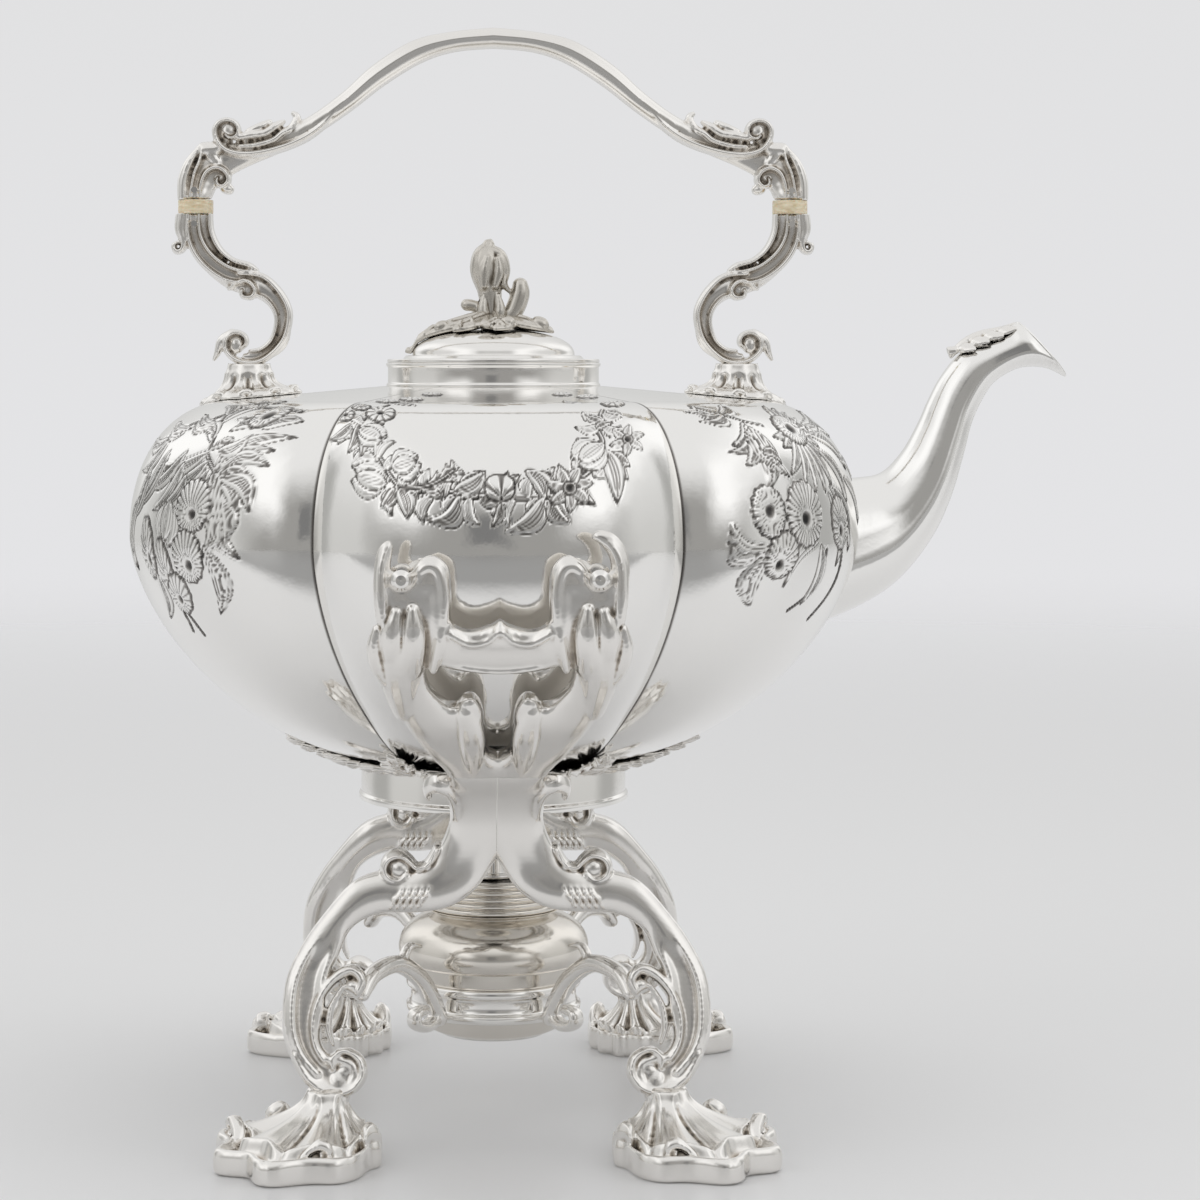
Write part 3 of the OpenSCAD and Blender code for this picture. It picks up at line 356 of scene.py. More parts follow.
def finish_piece(name, bm, body, node, material, hollow=(0.2, 0.9), channel=0.0, matt=False):
    """Gives a drawn piece its dark hollows, partly oxide and partly painted shade; channel is how deep a
    channel has to be to be painted dark, and matt says whether the side towards the kettle is left as cast."""
    bmesh.ops.remove_doubles(bm, verts=bm.verts, dist=0.001)
    bmesh.ops.recalc_face_normals(bm, faces=bm.faces)
    mesh = as_mesh(bm, name)
    bend, deep = hollows_of(mesh, 26 if channel else 0)
    # darker where the surface is sharply concave or deep in a channel: oxide there, and painted shade
    dark = np.clip((bend - hollow[0]) / (hollow[1] - hollow[0]), 0, 1) * 0.8
    if channel:
        dark = np.maximum(dark, np.clip((deep - 0.12 * channel) / (0.88 * channel), 0, 1))
    store(mesh, "hollow", dark)
    if matt:
        at, no = points_of(mesh), points_of(mesh, "normal")
        inward = -(at[:, :2] * no[:, :2]).sum(1) / np.hypot(at[:, 0], at[:, 1])
        store(mesh, "matt", fade((inward + 0.3 * no[:, 2] - 0.25) / 0.4))
    finish_mesh(name, mesh, body, node, material)


def four_of(bm, name, node, **finish):
    """Finishes a casting drawn for the front left, and its mirror images at the other corners."""
    for end, y in (("front", 1), ("rear", -1)):
        for side, x in (("left", 1), ("right", -1)):
            finish_piece(f"{name}_{end}_{side}", turned(bm, x, y), "stand", f"{node}_{end}_{side}",
                         cast_silver, **finish)
    bm.free()


# %% [markdown]
# ## Silver
# Polished silver is nearly white, and its looks are what it mirrors. Three things keep it from
# looking like a computer's mirror: the surface waves a little where it was hammered and raised, wipe
# marks blur the reflections in patches, and the hollows turn straw-brown and then nearly black, with
# tarnish and painted shade. One group works these out, and each silver has its own values of it.


# %% Node tools
def add_node(tree, kind, settings=None, **inputs):
    """A shader node; an input named by its number has an underscore before it."""
    node = tree.nodes.new("ShaderNode" + kind)
    for key, value in (settings or {}).items():
        setattr(node, key, value)
    connect(tree, node, **inputs)
    return node


def connect(tree, node, **inputs):
    for key, value in inputs.items():
        socket = node.inputs[int(key[1:]) if key[0] == "_" else key.replace("_", " ")]
        if isinstance(value, bpy.types.NodeSocket):
            tree.links.new(value, socket)
        else:
            socket.default_value = value


def maths(tree, operation, a, b, c=0.5, clamp=False):
    return add_node(tree, "Math", {"operation": operation, "use_clamp": clamp}, _0=a, _1=b, _2=c).outputs[0]


def ramp(tree, value, low, high, to_low=0.0, to_high=1.0, kind="SMOOTHSTEP"):
    """Goes from one value to another while its input goes from low to high."""
    return add_node(tree, "MapRange", {"interpolation_type": kind}, Value=value, From_Min=low,
                    From_Max=high,
                    To_Min=to_low, To_Max=to_high).outputs["Result"]


def blend(tree, share, a, b):
    return add_node(tree, "Mix", {"data_type": "RGBA"}, _0=share, _6=a, _7=b).outputs[2]


def noise(tree, at, scale, detail, **inputs):
    return add_node(tree, "TexNoise", Vector=at, Scale=scale, Detail=detail, **inputs)


def new_group(name, inputs, outputs):
    """A shader group; inputs are name: (kind, value) and outputs are name: kind."""
    tree = bpy.data.node_groups.new(name, "ShaderNodeTree")
    for key, (kind, value) in inputs.items():
        made = tree.interface.new_socket(key, in_out="INPUT", socket_type="NodeSocket" + kind)
        made.default_value = value
    for key, kind in outputs.items():
        tree.interface.new_socket(key, in_out="OUTPUT", socket_type="NodeSocket" + kind)
    return tree, tree.nodes.new("NodeGroupInput"), tree.nodes.new("NodeGroupOutput")


# %% Silver finish
def make_silver_group():
    tree, given, out = new_group(
        "silver finish",
        {"Bright": ("Color", (0.93, 0.92, 0.9, 1)), "Straw": ("Color", (0.52, 0.43, 0.33, 1)),
         "Dark": ("Color", (0.055, 0.05, 0.047, 1)), "Tarnish": ("Float", 1.0),
         "Polish": ("Float", 0.1), "Smear": ("Float", 0.08), "Wave": ("Float", 0.2)},
        {"Color": "Color", "Roughness": "Float", "Height": "Float", "Metal": "Float"})
    at = add_node(tree, "TexCoord").outputs["Object"]
    hollow, matt = (add_node(tree, "Attribute", {"attribute_name": k}).outputs["Fac"] for k in ("hollow",
                                                                                                "matt"))
    bright, straw, dark, tarnish_and_shade_strength, polish, smear, wave = given.outputs[:7]
    cloud = noise(tree, at, 70.0, 4.0, Roughness=0.6).outputs["Fac"]
    fine = noise(tree, at, 900.0, 3.0, Roughness=0.7).outputs["Fac"]
    # how dark the hollows go, as tarnish and painted shade together, mottled by the cloud
    depth = maths(tree, "MULTIPLY", hollow, ramp(tree, cloud, 0.3, 0.75, 0.72, 1.15, "LINEAR"))
    depth = maths(tree, "MULTIPLY", depth, tarnish_and_shade_strength, clamp=True)
    colour = blend(tree, ramp(tree, depth, 0.04, 0.5), bright, straw)
    colour = blend(tree, ramp(tree, depth, 0.38, 0.95), colour, dark)
    rough = maths(tree, "MULTIPLY_ADD", ramp(tree, cloud, 0.45, 0.8, kind="LINEAR"), smear, polish)
    rough = maths(tree, "MULTIPLY_ADD", depth, 0.3, rough)
    height = maths(tree, "MULTIPLY_ADD", cloud, wave, maths(tree, "MULTIPLY", fine, 0.02))
    # the backs of castings are left as cast, matt and pale
    rough = maths(tree, "MULTIPLY_ADD", matt, 0.4, rough, clamp=True)
    metal = maths(tree, "MULTIPLY_ADD", matt, -0.7, 1.0)
    connect(tree, out, Color=blend(tree, matt, colour, (0.88, 0.84, 0.78, 1)), Roughness=rough,
            Height=height,
            Metal=metal)
    return tree


silver_group = make_silver_group()


def new_material(name, slot, **inputs):
    material = bpy.data.materials.new(name)
    material.use_nodes = True
    tree = material.node_tree
    shader = tree.nodes["Principled BSDF"]
    connect(tree, shader, **inputs)
    return material, tree, shader


def bumped(tree, height, strength, distance):
    return add_node(tree, "Bump", Height=height, Strength=strength, Distance=distance).outputs["Normal"]


def silver(name, **values):
    material, tree, shader = new_material(name, "silver")
    finish = add_node(tree, "Group", {"node_tree": silver_group}, **values).outputs
    connect(tree, shader, Base_Color=finish["Color"], Metallic=finish["Metal"],
            Roughness=finish["Roughness"],
            Normal=bumped(tree, finish["Height"], 0.15, 0.001))
    return material


raised_silver = silver("raised_silver", Straw=(0.3, 0.285, 0.27, 1), Dark=(0.035, 0.034, 0.034, 1),
                       Polish=0.07, Smear=0.07, Wave=0.7)
cast_silver = silver("cast_silver", Bright=(0.88, 0.86, 0.83, 1), Straw=(0.44, 0.39, 0.33, 1),
                     Polish=0.14, Smear=0.12, Wave=0.35)
old_silver = silver("old_silver", Bright=(0.66, 0.63, 0.58, 1), Straw=(0.27, 0.235, 0.19, 1), Tarnish=1.3,
                    Polish=0.2, Smear=0.15, Wave=0.5)
lamp_silver = silver("lamp_silver", Bright=(0.8, 0.765, 0.71, 1), Polish=0.1, Smear=0.16, Wave=0.3)
turned_silver = silver("turned_silver", Bright=(0.9, 0.885, 0.86, 1), Polish=0.09, Smear=0.1, Wave=0.15)

# %% [markdown]
# ## Ivory-coloured discs and the cotton wick
# The discs keep the heat of the kettle from the hand. They are warm cream with fine wavy streaks
# along the grain. The wick is woven cotton, with the strands showing at its end.


# %% Ivory and cotton
def tones(tree, value, colours, low=0.0, high=1.0):
    ramp_node = add_node(tree, "ValToRGB", Fac=value)
    for element, place, colour in zip(ramp_node.color_ramp.elements, (low, high), colours):
        element.position, element.color = place, colour
    return ramp_node.outputs["Color"]


def make_ivory():
    material, tree, shader = new_material("ivory_disc", "ivory_disc", Coat_Weight=0.25, Coat_Roughness=0.2,
                                          Subsurface_Weight=0.1, Subsurface_Scale=0.002)
    streak = add_node(tree, "Mapping", Vector=add_node(tree, "TexCoord").outputs["Object"], Scale=(1, 1, 3))
    grain = noise(tree, streak.outputs[0], 420.0, 5.0).outputs["Fac"]
    connect(tree, shader, Base_Color=tones(tree, grain, ((0.66, 0.53, 0.33, 1), (0.87, 0.79, 0.6, 1)), 0.3,
                                           0.68),
            Roughness=ramp(tree, grain, 0.0, 1.0, 0.3, 0.5, "LINEAR"),
            Normal=bumped(tree, grain, 0.2, 0.0003))
    return material


def make_cotton():
    material, tree, shader = new_material("cotton_wick", "wick", Sheen_Weight=0.4, Roughness=0.85)
    weave = add_node(tree, "TexVoronoi", Vector=add_node(tree, "TexCoord").outputs["Object"],
                     Scale=900.0).outputs["Distance"]
    connect(tree, shader, Base_Color=tones(tree, weave, ((0.78, 0.72, 0.6, 1), (0.42, 0.35, 0.26, 1))),
            Normal=bumped(tree, weave, 0.6, 0.0005))
    return material


ivory = make_ivory()
cotton = make_cotton()

# %% [markdown]
# ## Camera, floor and light
# The photograph was taken from the front with a long lens, a little above the lamp's height. The
# kettle mirrors the whole studio, so the world is drawn as that studio: white diffusers at both
# sides, above and behind, a paler floor, and the dim room behind the camera. The photograph is a
# crop of a wider picture taken level, and a small shift of the lens gives its framing.

# %% Camera
camera = placed("camera", bpy.data.cameras.new("camera"))
camera.location = ((AXIS_X - 15.45) * MM, -0.9836, 0.2454)
camera.rotation_euler = (math.radians(90 - 1.53), 0, math.radians(-1.105))
camera.data.lens, camera.data.sensor_width = 88.8, 36
camera.data.shift_x, camera.data.shift_y = 0.08, -0.13
camera.data.clip_start = 0.01
bpy.context.scene.camera = camera
bpy.context.scene.view_settings.view_transform = "Standard"


# %% World
def make_world():
    world = bpy.data.worlds.new("studio")
    bpy.context.scene.world = world
    world.use_nodes = True
    tree = world.node_tree
    tree.nodes.clear()
    way = add_node(tree, "TexCoord").outputs["Generated"]
    # the room is not seen quite straight in beaten silver: its outlines waver
    waver = add_node(tree, "VectorMath", {"operation": "MULTIPLY_ADD"},
                     _0=noise(tree, way, 2.6, 2.0, Distortion=0.6).outputs["Color"],
                     _1=(0.2, 0.2, 0.16), _2=(-0.1, -0.1, -0.08)).outputs["Vector"]
    bent = add_node(tree, "VectorMath", {"operation": "ADD"}, _0=way, _1=waver).outputs["Vector"]
    x, y, z = add_node(tree, "SeparateXYZ", Vector=bent).outputs
    side = add_node(tree, "Math", {"operation": "ABSOLUTE"}, _0=x).outputs[0]

    def zone(first, *others):
        """One where all the bands overlap; each is an input, where it starts and where it is full."""
        share = ramp(tree, *first)
        for band in others:
            share = maths(tree, "MULTIPLY", share, ramp(tree, *band))
        return share

    seen = blend(tree, zone((z, -0.1, 0.8)), (0.62, 0.62, 0.61, 1), (0.84, 0.84, 0.84, 1))
    for bands, colour in (
            # dim strips behind, the room behind the camera, the diffusers, and the camera with its stand
            (((y, 0.1, 0.35), (y, 0.75, 0.5), (side, 0.45, 0.7), (z, 0.75, 0.5)), (0.43, 0.43, 0.42, 1)),
            (((y, -0.3, -0.82), (z, -0.4, -0.3), (z, 0.66, 0.2)), (0.34, 0.335, 0.325, 1)),
            (((side, 0.3, 0.56), (side, 0.9, 0.66), (z, -0.05, 0.35), (z, 0.98, 0.6)),
             (1.05, 1.05, 1.05, 1)),
            (((x, -0.22, -0.12), (x, 0.12, 0.02), (z, 0.32, 0.18), (y, -0.6, -0.8), (z, -0.03, 0.02)),
             (0.2, 0.2, 0.2, 1))):
        seen = blend(tree, zone(*bands), seen, colour)
    straight = add_node(tree, "SeparateXYZ", Vector=way).outputs["Z"]
    backdrop = blend(tree, zone((straight, -0.1, 0.35)), (0.775, 0.775, 0.79, 1), (0.735, 0.735, 0.735, 1))
    plain = blend(tree, zone((z, -0.4, 0.6)), (0.5, 0.5, 0.5, 1), (0.72, 0.72, 0.72, 1))
    path = add_node(tree, "LightPath").outputs
    colour = blend(tree, path["Is Camera Ray"], blend(tree, path["Is Glossy Ray"], plain, seen), backdrop)
    background = add_node(tree, "Background", Color=colour, Strength=1.0)
    add_node(tree, "OutputWorld", Surface=background.outputs[0])


make_world()


# %% Lamps
def soft_light(name, place, target, size, power):
    data = bpy.data.lights.new(name, "AREA")
    data.shape, data.size, data.size_y, data.energy = "RECTANGLE", size[0], size[1], power
    lamp = placed(name, data)
    lamp.location = place
    lamp.visible_glossy = False
    lamp.rotation_euler = (Vector(target) - Vector(place)).to_track_quat("-Z", "Y").to_euler()


soft_light("left_diffuser", (-1.5, -0.75, 0.9), (0, 0, 0.15), (1.2, 1.5), 4.9)
soft_light("right_diffuser", (1.5, -0.45, 0.8), (0, 0, 0.15), (1.0, 1.4), 3.6)
soft_light("top_diffuser", (0.1, 0.1, 1.7), (0, 0, 0.1), (1.3, 1.1), 4.6)


# %% Floor
def make_floor():
    bm = bmesh.new()
    bmesh.ops.create_circle(bm, cap_ends=True, segments=96, radius=6)
    floor = placed("floor", as_mesh(bm, "floor"))
    material, tree, shader = new_material("pale_floor", "floor", Roughness=0.28, Specular_IOR_Level=0.35)
    at = add_node(tree, "TexCoord").outputs["Object"]
    reach = add_node(tree, "VectorMath", {"operation": "LENGTH"}, _0=at).outputs["Value"]
    # in the silver, the table ends a little way in front
    edge = ramp(tree, add_node(tree, "SeparateXYZ", Vector=at).outputs["Y"], -0.27, -0.4)
    edge = maths(tree, "MULTIPLY", edge, add_node(tree, "LightPath").outputs["Is Glossy Ray"])
    connect(tree, shader, Base_Color=blend(tree, edge, (0.78, 0.78, 0.785, 1), (0.34, 0.34, 0.34, 1)))
    mix = add_node(tree, "MixShader", _0=ramp(tree, reach, 0.5, 2.6), _1=shader.outputs[0],
                   _2=add_node(tree, "BsdfTransparent").outputs[0])
    connect(tree, tree.nodes["Material Output"], Surface=mix.outputs[0])
    floor.data.materials.append(material)


make_floor()

# %% [markdown]
# ## The lobed body
# The body was raised from sheet into six lobes that meet in sharp grooves. A groove is a real
# crease, so each lobe is its own fine grid, bent over the body and closed at the grooves by its
# neighbours. The grid is fine enough to carry the chased flowers as real relief.


# %% The body's surface
def body_profile(inset=0.0, steps=400):
    """Radius over the crest, height and groove depth, against the length up the profile."""
    a = np.radians(np.linspace(0, 90, steps))
    r1 = RIM_R + (BODY_R - inset - RIM_R) * np.sin(a) ** BELLY_BOW
    z1 = -(BELLY_H - inset) * np.cos(a) ** BELLY_BOW
    s1 = GROOVE * fade((r1 - RIM_R) / (BODY_R - RIM_R) * 1.6)
    b = a[1:]
    r2 = SHOULDER_R + (BODY_R - inset - SHOULDER_R) * np.cos(b) ** SHOULDER_BOW
    z2 = (SHOULDER_H - inset) * np.sin(b) ** SHOULDER_BOW
    s2 = GROOVE * (0.15 + 0.85 * fade((r2 - COLLAR_R) / (BODY_R - COLLAR_R)))
    f = np.linspace(0, 1, 100)[1:]
    r3 = SHOULDER_R + (COLLAR_R - SHOULDER_R) * f
    z3 = SHOULDER_H - inset + (COLLAR_Z - SHOULDER_H) * f
    s3 = np.interp(f, [0, 0.5, 1], [s2[-1], GROOVE / 3, 0])
    r, z, s = (np.concatenate(k) for k in ((r1, r2, r3), (z1, z2, z3), (s1, s2, s3)))
    length = np.concatenate([[0], np.cumsum(np.hypot(np.diff(r), np.diff(z)))])
    return length - length[steps - 1], r, z, s


PROFILE = body_profile()


def girth_at(at, stations, r, share, u):
    """Distance from the axis, where u is -1 to 1 from groove to groove."""
    return np.interp(at, stations, r) * (1 - np.interp(at, stations, share) * np.abs(u) ** LOBE_BOW)


def body_at(middle, u, t, profile=PROFILE):
    """The body's surface, where t is the length up the profile from the girth."""
    length, r, z, share = profile
    q = girth_at(t, length, r, share, u)
    w = np.radians(middle + 30 * u)
    return np.stack([q * np.cos(w), q * np.sin(w), np.interp(t, length, z)], -1)


def body_normal(middle, u, t):
    du = body_at(middle, u + 0.002, t) - body_at(middle, u - 0.002, t)
    dt = body_at(middle, u, t + 0.2) - body_at(middle, u, t - 0.2)
    n = np.cross(du, dt)
    return n / np.linalg.norm(n, axis=-1)[..., None]


# %% [markdown]
# ## Chasing
# A chaser draws on the metal with punches: petals and leaves stand a little proud, each edged by a
# sunk line that keeps its tarnish, with finer lines for veins, and one side of each leaf is painted
# darker as shade. `Chasing` paints them in the same order, so a leaf drawn later lies over an earlier one.


# %% Chasing tools
class Chasing:
    def __init__(self, across, up):
        self.x, self.y = across, up
        self.rise, self.cut = np.zeros_like(across), np.zeros_like(across)

    def near(self, points, reach):
        """The part of the grid round some points, so that each mark is worked out there only."""
        p = np.array(points, float)
        low, high = p.min(0) - reach, p.max(0) + reach
        return np.flatnonzero((self.x > low[0]) & (self.x < high[0])
                              & (self.y > low[1]) & (self.y < high[1]))

    def lay(self, where, inside, rise, cut, line=0.28, ink=0.9):
        """Lays a shape over what is there; inside is the distance in from its edge."""
        cover = fade(inside / 0.5 + 0.5)
        self.rise[where] += (rise - self.rise[where]) * cover
        self.cut[where] += (np.clip(cut, 0, 1) - self.cut[where]) * cover
        edge = np.exp(-(inside / line) ** 2) * ink
        self.cut[where] = np.maximum(self.cut[where], edge)

    def leaf(self, base, tip, width, bend=0.0, veins=1.0, high=0.75, full_at=0.75):
        """A pointed leaf from base to tip, bent sideways by a share of its length."""
        base, tip = np.array(base, float), np.array(tip, float)
        length = np.linalg.norm(tip - base)
        u = (tip - base) / length
        where = self.near([base, tip], width + abs(bend) * length + 2)
        dx, dy = self.x[where] - base[0], self.y[where] - base[1]
        a, b = (dx * u[0] + dy * u[1]) / length, dy * u[0] - dx * u[1]
        s = np.clip(a, 0, 1)
        b = b - bend * length * np.sin(np.pi * s)
        half = width / 2 * np.maximum(np.sin(np.pi * s**full_at), 0) ** 0.75 + 0.02
        inside = np.where((a > 0) & (a < 1), half - np.abs(b), -np.hypot(
            np.minimum(a, 0) * length + np.maximum(a - 1, 0) * length, b) - 0.1)
        k = np.clip(np.abs(b) / half, 0, 1)
        rise = high * (1 - k**2) ** 0.5 * (0.45 + 0.55 * s)
        rib = np.exp(-(b / 0.3) ** 2) * (s < 0.88)
        n = 1.5 if width < 7 else 2.5
        side = np.exp(-((np.mod(k * n, 1) - 0.5) * half / n / 0.3) ** 2) * fade((half - 1.1) / 0.5)
        side = side * fade((0.84 - s) / 0.1) * fade((s - 0.05) / 0.1) * (k > 0.2)
        # painted shade: one side of each leaf, picked by the way it bends, is darkened
        shade = np.clip(b / half * np.sign(bend + 1e-9), 0, 1) ** 3 * 0.35
        cut = veins * np.maximum(np.maximum(0.7 * rib, 0.62 * side), shade)
        tip_ink = 0.9 * fade((s - 0.84) / 0.14) * (k > 0.15)
        self.lay(where, inside, rise - 0.25 * cut, cut + tip_ink, line=0.2, ink=0.8)

    def bloom(self, centre, across, up, lean=0.0, rays=22, eye=0.2, eye_at=(0, 0), high=1.0):
        """A round flower seen half from the side, with fine rays about a dark eye."""
        where = self.near([centre], max(across, up) + 2)
        dx, dy = self.x[where] - centre[0], self.y[where] - centre[1]
        c, s = math.cos(math.radians(lean)), math.sin(math.radians(lean))
        p, q = (dx * c + dy * s) / across, (dy * c - dx * s) / up
        turn = np.arctan2(q - eye_at[1], p - eye_at[0])
        edge = np.hypot(p, q) * (1 + 0.03 * np.cos(rays / 2 * np.arctan2(q, p)))
        core = np.hypot(p - eye_at[0], q - eye_at[1])
        inside = (1 - edge) * min(across, up)
        rays = np.clip(np.cos(rays * turn) - 0.1, 0, 1) * fade((core - eye) / 0.25)
        fringe = fade((edge - 0.78) / 0.2) * np.clip(np.cos(26 * turn), 0, 1)
        rise = high * (0.3 + 0.7 * fade(core / 0.75)) * np.clip(1.25 - edge, 0, 1) ** 0.4
        dark = np.exp(-(core / eye) ** 4)
        cut = 0.85 * rays * (1 - 0.35 * edge) + 0.95 * dark + 0.6 * fringe
        self.lay(where, inside, rise - 0.2 * rays - 0.35 * dark, cut)

    def star(self, centre, reach, petals=6, start=0.0, width=0.55, eye=0.28, squash=1.0):
        """An open flower with pointed petals."""
        for k in range(petals):
            a = math.radians(start + 360 * k / petals)
            tip = (centre[0] + reach * math.cos(a), centre[1] + reach * math.sin(a) * squash)
            self.leaf(centre, tip, reach * width, bend=0.06, veins=0.7, full_at=0.95)
        self.bloom(centre, reach * eye, reach * eye * squash, rays=9, eye=0.7, high=0.9)

    def bud(self, base, tip, width):
        """A closed flower: one round petal over two others."""
        base, tip = np.array(base, float), np.array(tip, float)
        side = np.array([-(tip - base)[1], (tip - base)[0]]) * 0.22
        self.leaf(base, tip + side * 0.8, width * 0.8, bend=0.12, veins=0.5, full_at=1.0)
        self.leaf(base, tip - side * 0.8, width * 0.8, bend=-0.12, veins=0.5, full_at=1.0)
        self.leaf(base, tip * 0.9 + base * 0.1, width * 0.66, veins=0.6, high=1.0, full_at=0.9)

    def stem(self, points, width=1.1):
        line = smooth_line(points, 6)
        where = self.near(line, width + 1.5)
        x, y = self.x[where], self.y[where]
        far = np.full(len(where), 9.0)
        for (x0, y0), (x1, y1) in zip(line[:-1], line[1:]):
            dx, dy = x1 - x0, y1 - y0
            s = np.clip(((x - x0) * dx + (y - y0) * dy) / (dx * dx + dy * dy + 1e-9), 0, 1)
            far = np.minimum(far, np.hypot(x - x0 - s * dx, y - y0 - s * dy))
        inside = width / 2 - far
        self.lay(where, inside, 0.6 * np.sqrt(np.clip(1 - (far / width * 2) ** 2, 0, 1)),
                 np.zeros(len(where)))

    def leaves(self, *table):
        """Leaves by their base, tip, width and bend."""
        for base, tip, width, bend in table:
            self.leaf(base, tip, width, bend)

    def blooms(self, rays, eye, *table, **settings):
        """Blooms of one kind by their centre, breadth, height and lean."""
        for centre, across, up, lean in table:
            self.bloom(centre, across, up, lean, rays, eye, **settings)

    def frond(self, points, width, lobes):
        """An acanthus spray: leaves that fan off a bent stem and curl at their ends."""
        line = smooth_line(points, 12)
        n = len(line)
        for k in range(lobes):
            i = int((k + 0.4) / lobes * (n - 2))
            t = line[i + 1] - line[i]
            t /= np.linalg.norm(t)
            size = width * (0.55 + 0.45 * math.sin(math.pi * (k + 1) / (lobes + 1)))
            for side in (-1, 1):
                out = np.array([-t[1], t[0]]) * side
                tip = line[i] + t * size * 0.75 + out * size * 0.62
                self.leaf(line[i], tip, size * 0.46, bend=-0.26 * side, veins=0.8, high=0.8)
        self.leaf(line[n * 2 // 3], line[-1] + (line[-1] - line[-4]), width * 0.42, bend=0.16)
        self.stem(points, 0.9)


# %% [markdown]
# The front lobe carries a swag that hangs from its two upper corners. Left and right lobes have a
# spray of acanthus with bell flowers hanging under it. The places are millimetres across from the
# lobe's crest and up from the girth.


# %% Swag on the front and rear lobes
def chase_swag(c):
    c.stem([(-34, 56), (-43.5, 41), (-40.8, 32), (-35.8, 29), (-33, 24), (-29.5, 19.4)])
    c.stem([(32, 51), (29.7, 41), (31.2, 34), (28, 26), (20, 20)])
    c.stem([(-29.5, 19.4), (-22, 18.6), (-14.5, 18.7), (-11, 17), (-3, 17), (6, 16.6), (13.5, 17),
            (20, 20)])
    # small leaves fill the garland out on both sides
    path = smooth_line([(-40, 50), (-42, 38), (-37, 29), (-30, 20), (-20, 17.4), (-9, 17), (4, 16.6),
                        (15, 17.6), (24, 22), (30, 31), (31, 42), (32, 50)], 3)
    for k in range(1, len(path) - 1):
        t = (path[k + 1] - path[k - 1]) / np.linalg.norm(path[k + 1] - path[k - 1])
        for side in (-1, 1):
            out = np.array([-t[1], t[0]]) * side * (6.6 if k % 3 else 8.4)
            if (k + side) % 3:
                c.leaf(path[k], path[k] + t * (3.4 if k % 2 else -1.6) + out, 4.4, 0.25 * side, 0.5,
                       high=0.9)
    c.leaves(
        ((-45.6, 42.2), (-53.9, 34.5), 3.6, 0.12), ((-43.5, 40.9), (-46.4, 30.4), 3.8, 0.12),
        ((-43, 39.6), (-41.8, 29.2), 3.4, 0.12), ((-30.9, 19.4), (-35.4, 13.8), 4.2, 0.12),
        ((-29.5, 19.4), (-27.2, 10.6), 5.6, 0.12), ((-21.9, 18.4), (-16.6, 16.2), 2.6, 0.12),
        ((0.5, 15.3), (-2.3, 8.2), 3.2, 0.12), ((24.5, 25), (29.5, 28), 3.2, 0.12),
        ((31.9, 30.2), (39.6, 26), 4, 0.12), ((32.7, 26.6), (38.8, 21.8), 4, 0.12),
        ((26, 60), (20, 66), 3.4, 0.12), ((33, 50), (38, 47), 3.2, 0.12), ((-32, 58), (-25, 55), 3.4, 0.12),
        ((31, 44), (26, 47), 3.4, 0.12), ((29, 40), (35, 43), 3, 0.12))
    c.frond([(-29.5, 19.4), (-21.9, 20.2), (-16.8, 22.6), (-13.6, 25.2)], 6.5, 4)
    c.leaves(((31.6, 32.2), (35.1, 14.6), 6.2, 0.08), ((-13.2, 18.6), (-4.2, 25), 5.6, -0.14),
             ((-11.2, 17.2), (-21.4, 10), 6.2, 0.3), ((13.3, 16.4), (1.6, 7.2), 6.6, 0.2),
             ((14.6, 16.1), (20.6, 9.4), 5, -0.2), ((13.8, 17), (7.4, 25.4), 6, -0.16))
    c.bud((-43, 40), (-34.4, 35.6), 8)
    c.bud((-33.6, 20.6), (-44.6, 23.6), 9.5)
    c.bud((-32, 25.6), (-23.6, 28.6), 9.5)
    c.blooms(9, 0.3, ((-48.2, 46.8), 3.4, 3.6, 0))
    c.blooms(10, 0.26, ((-36.2, 48.4), 4.8, 5, 0))
    c.blooms(9, 0.25, ((-43, 53), 3.4, 3, 0), ((-34.5, 64), 4.2, 4.6, 0), ((-27, 72), 4, 4, 0))
    c.leaves(((0.6, 16.4), (-6.6, 18), 4.4, 0.2), ((2, 17), (6, 24), 4.2, 0.2))
    c.blooms(8, 0.12, ((0, 19.8), 4.6, 4.3, 0), eye_at=(0.1, -0.75))
    c.bud((31.4, 34.2), (22.4, 27), 9.6)
    c.star((20.6, 19.6), 7.4, 7, 12, 0.5)
    c.star((39.2, 35.6), 6.4, 6, 20, 0.46)
    c.blooms(9, 0.25, ((36, 58), 4.2, 4.6, 0), ((29, 80), 3.8, 4.4, 0), ((21, 88), 3.4, 3.6, 0),
             ((-20.5, 88), 3.4, 3.6, 0))


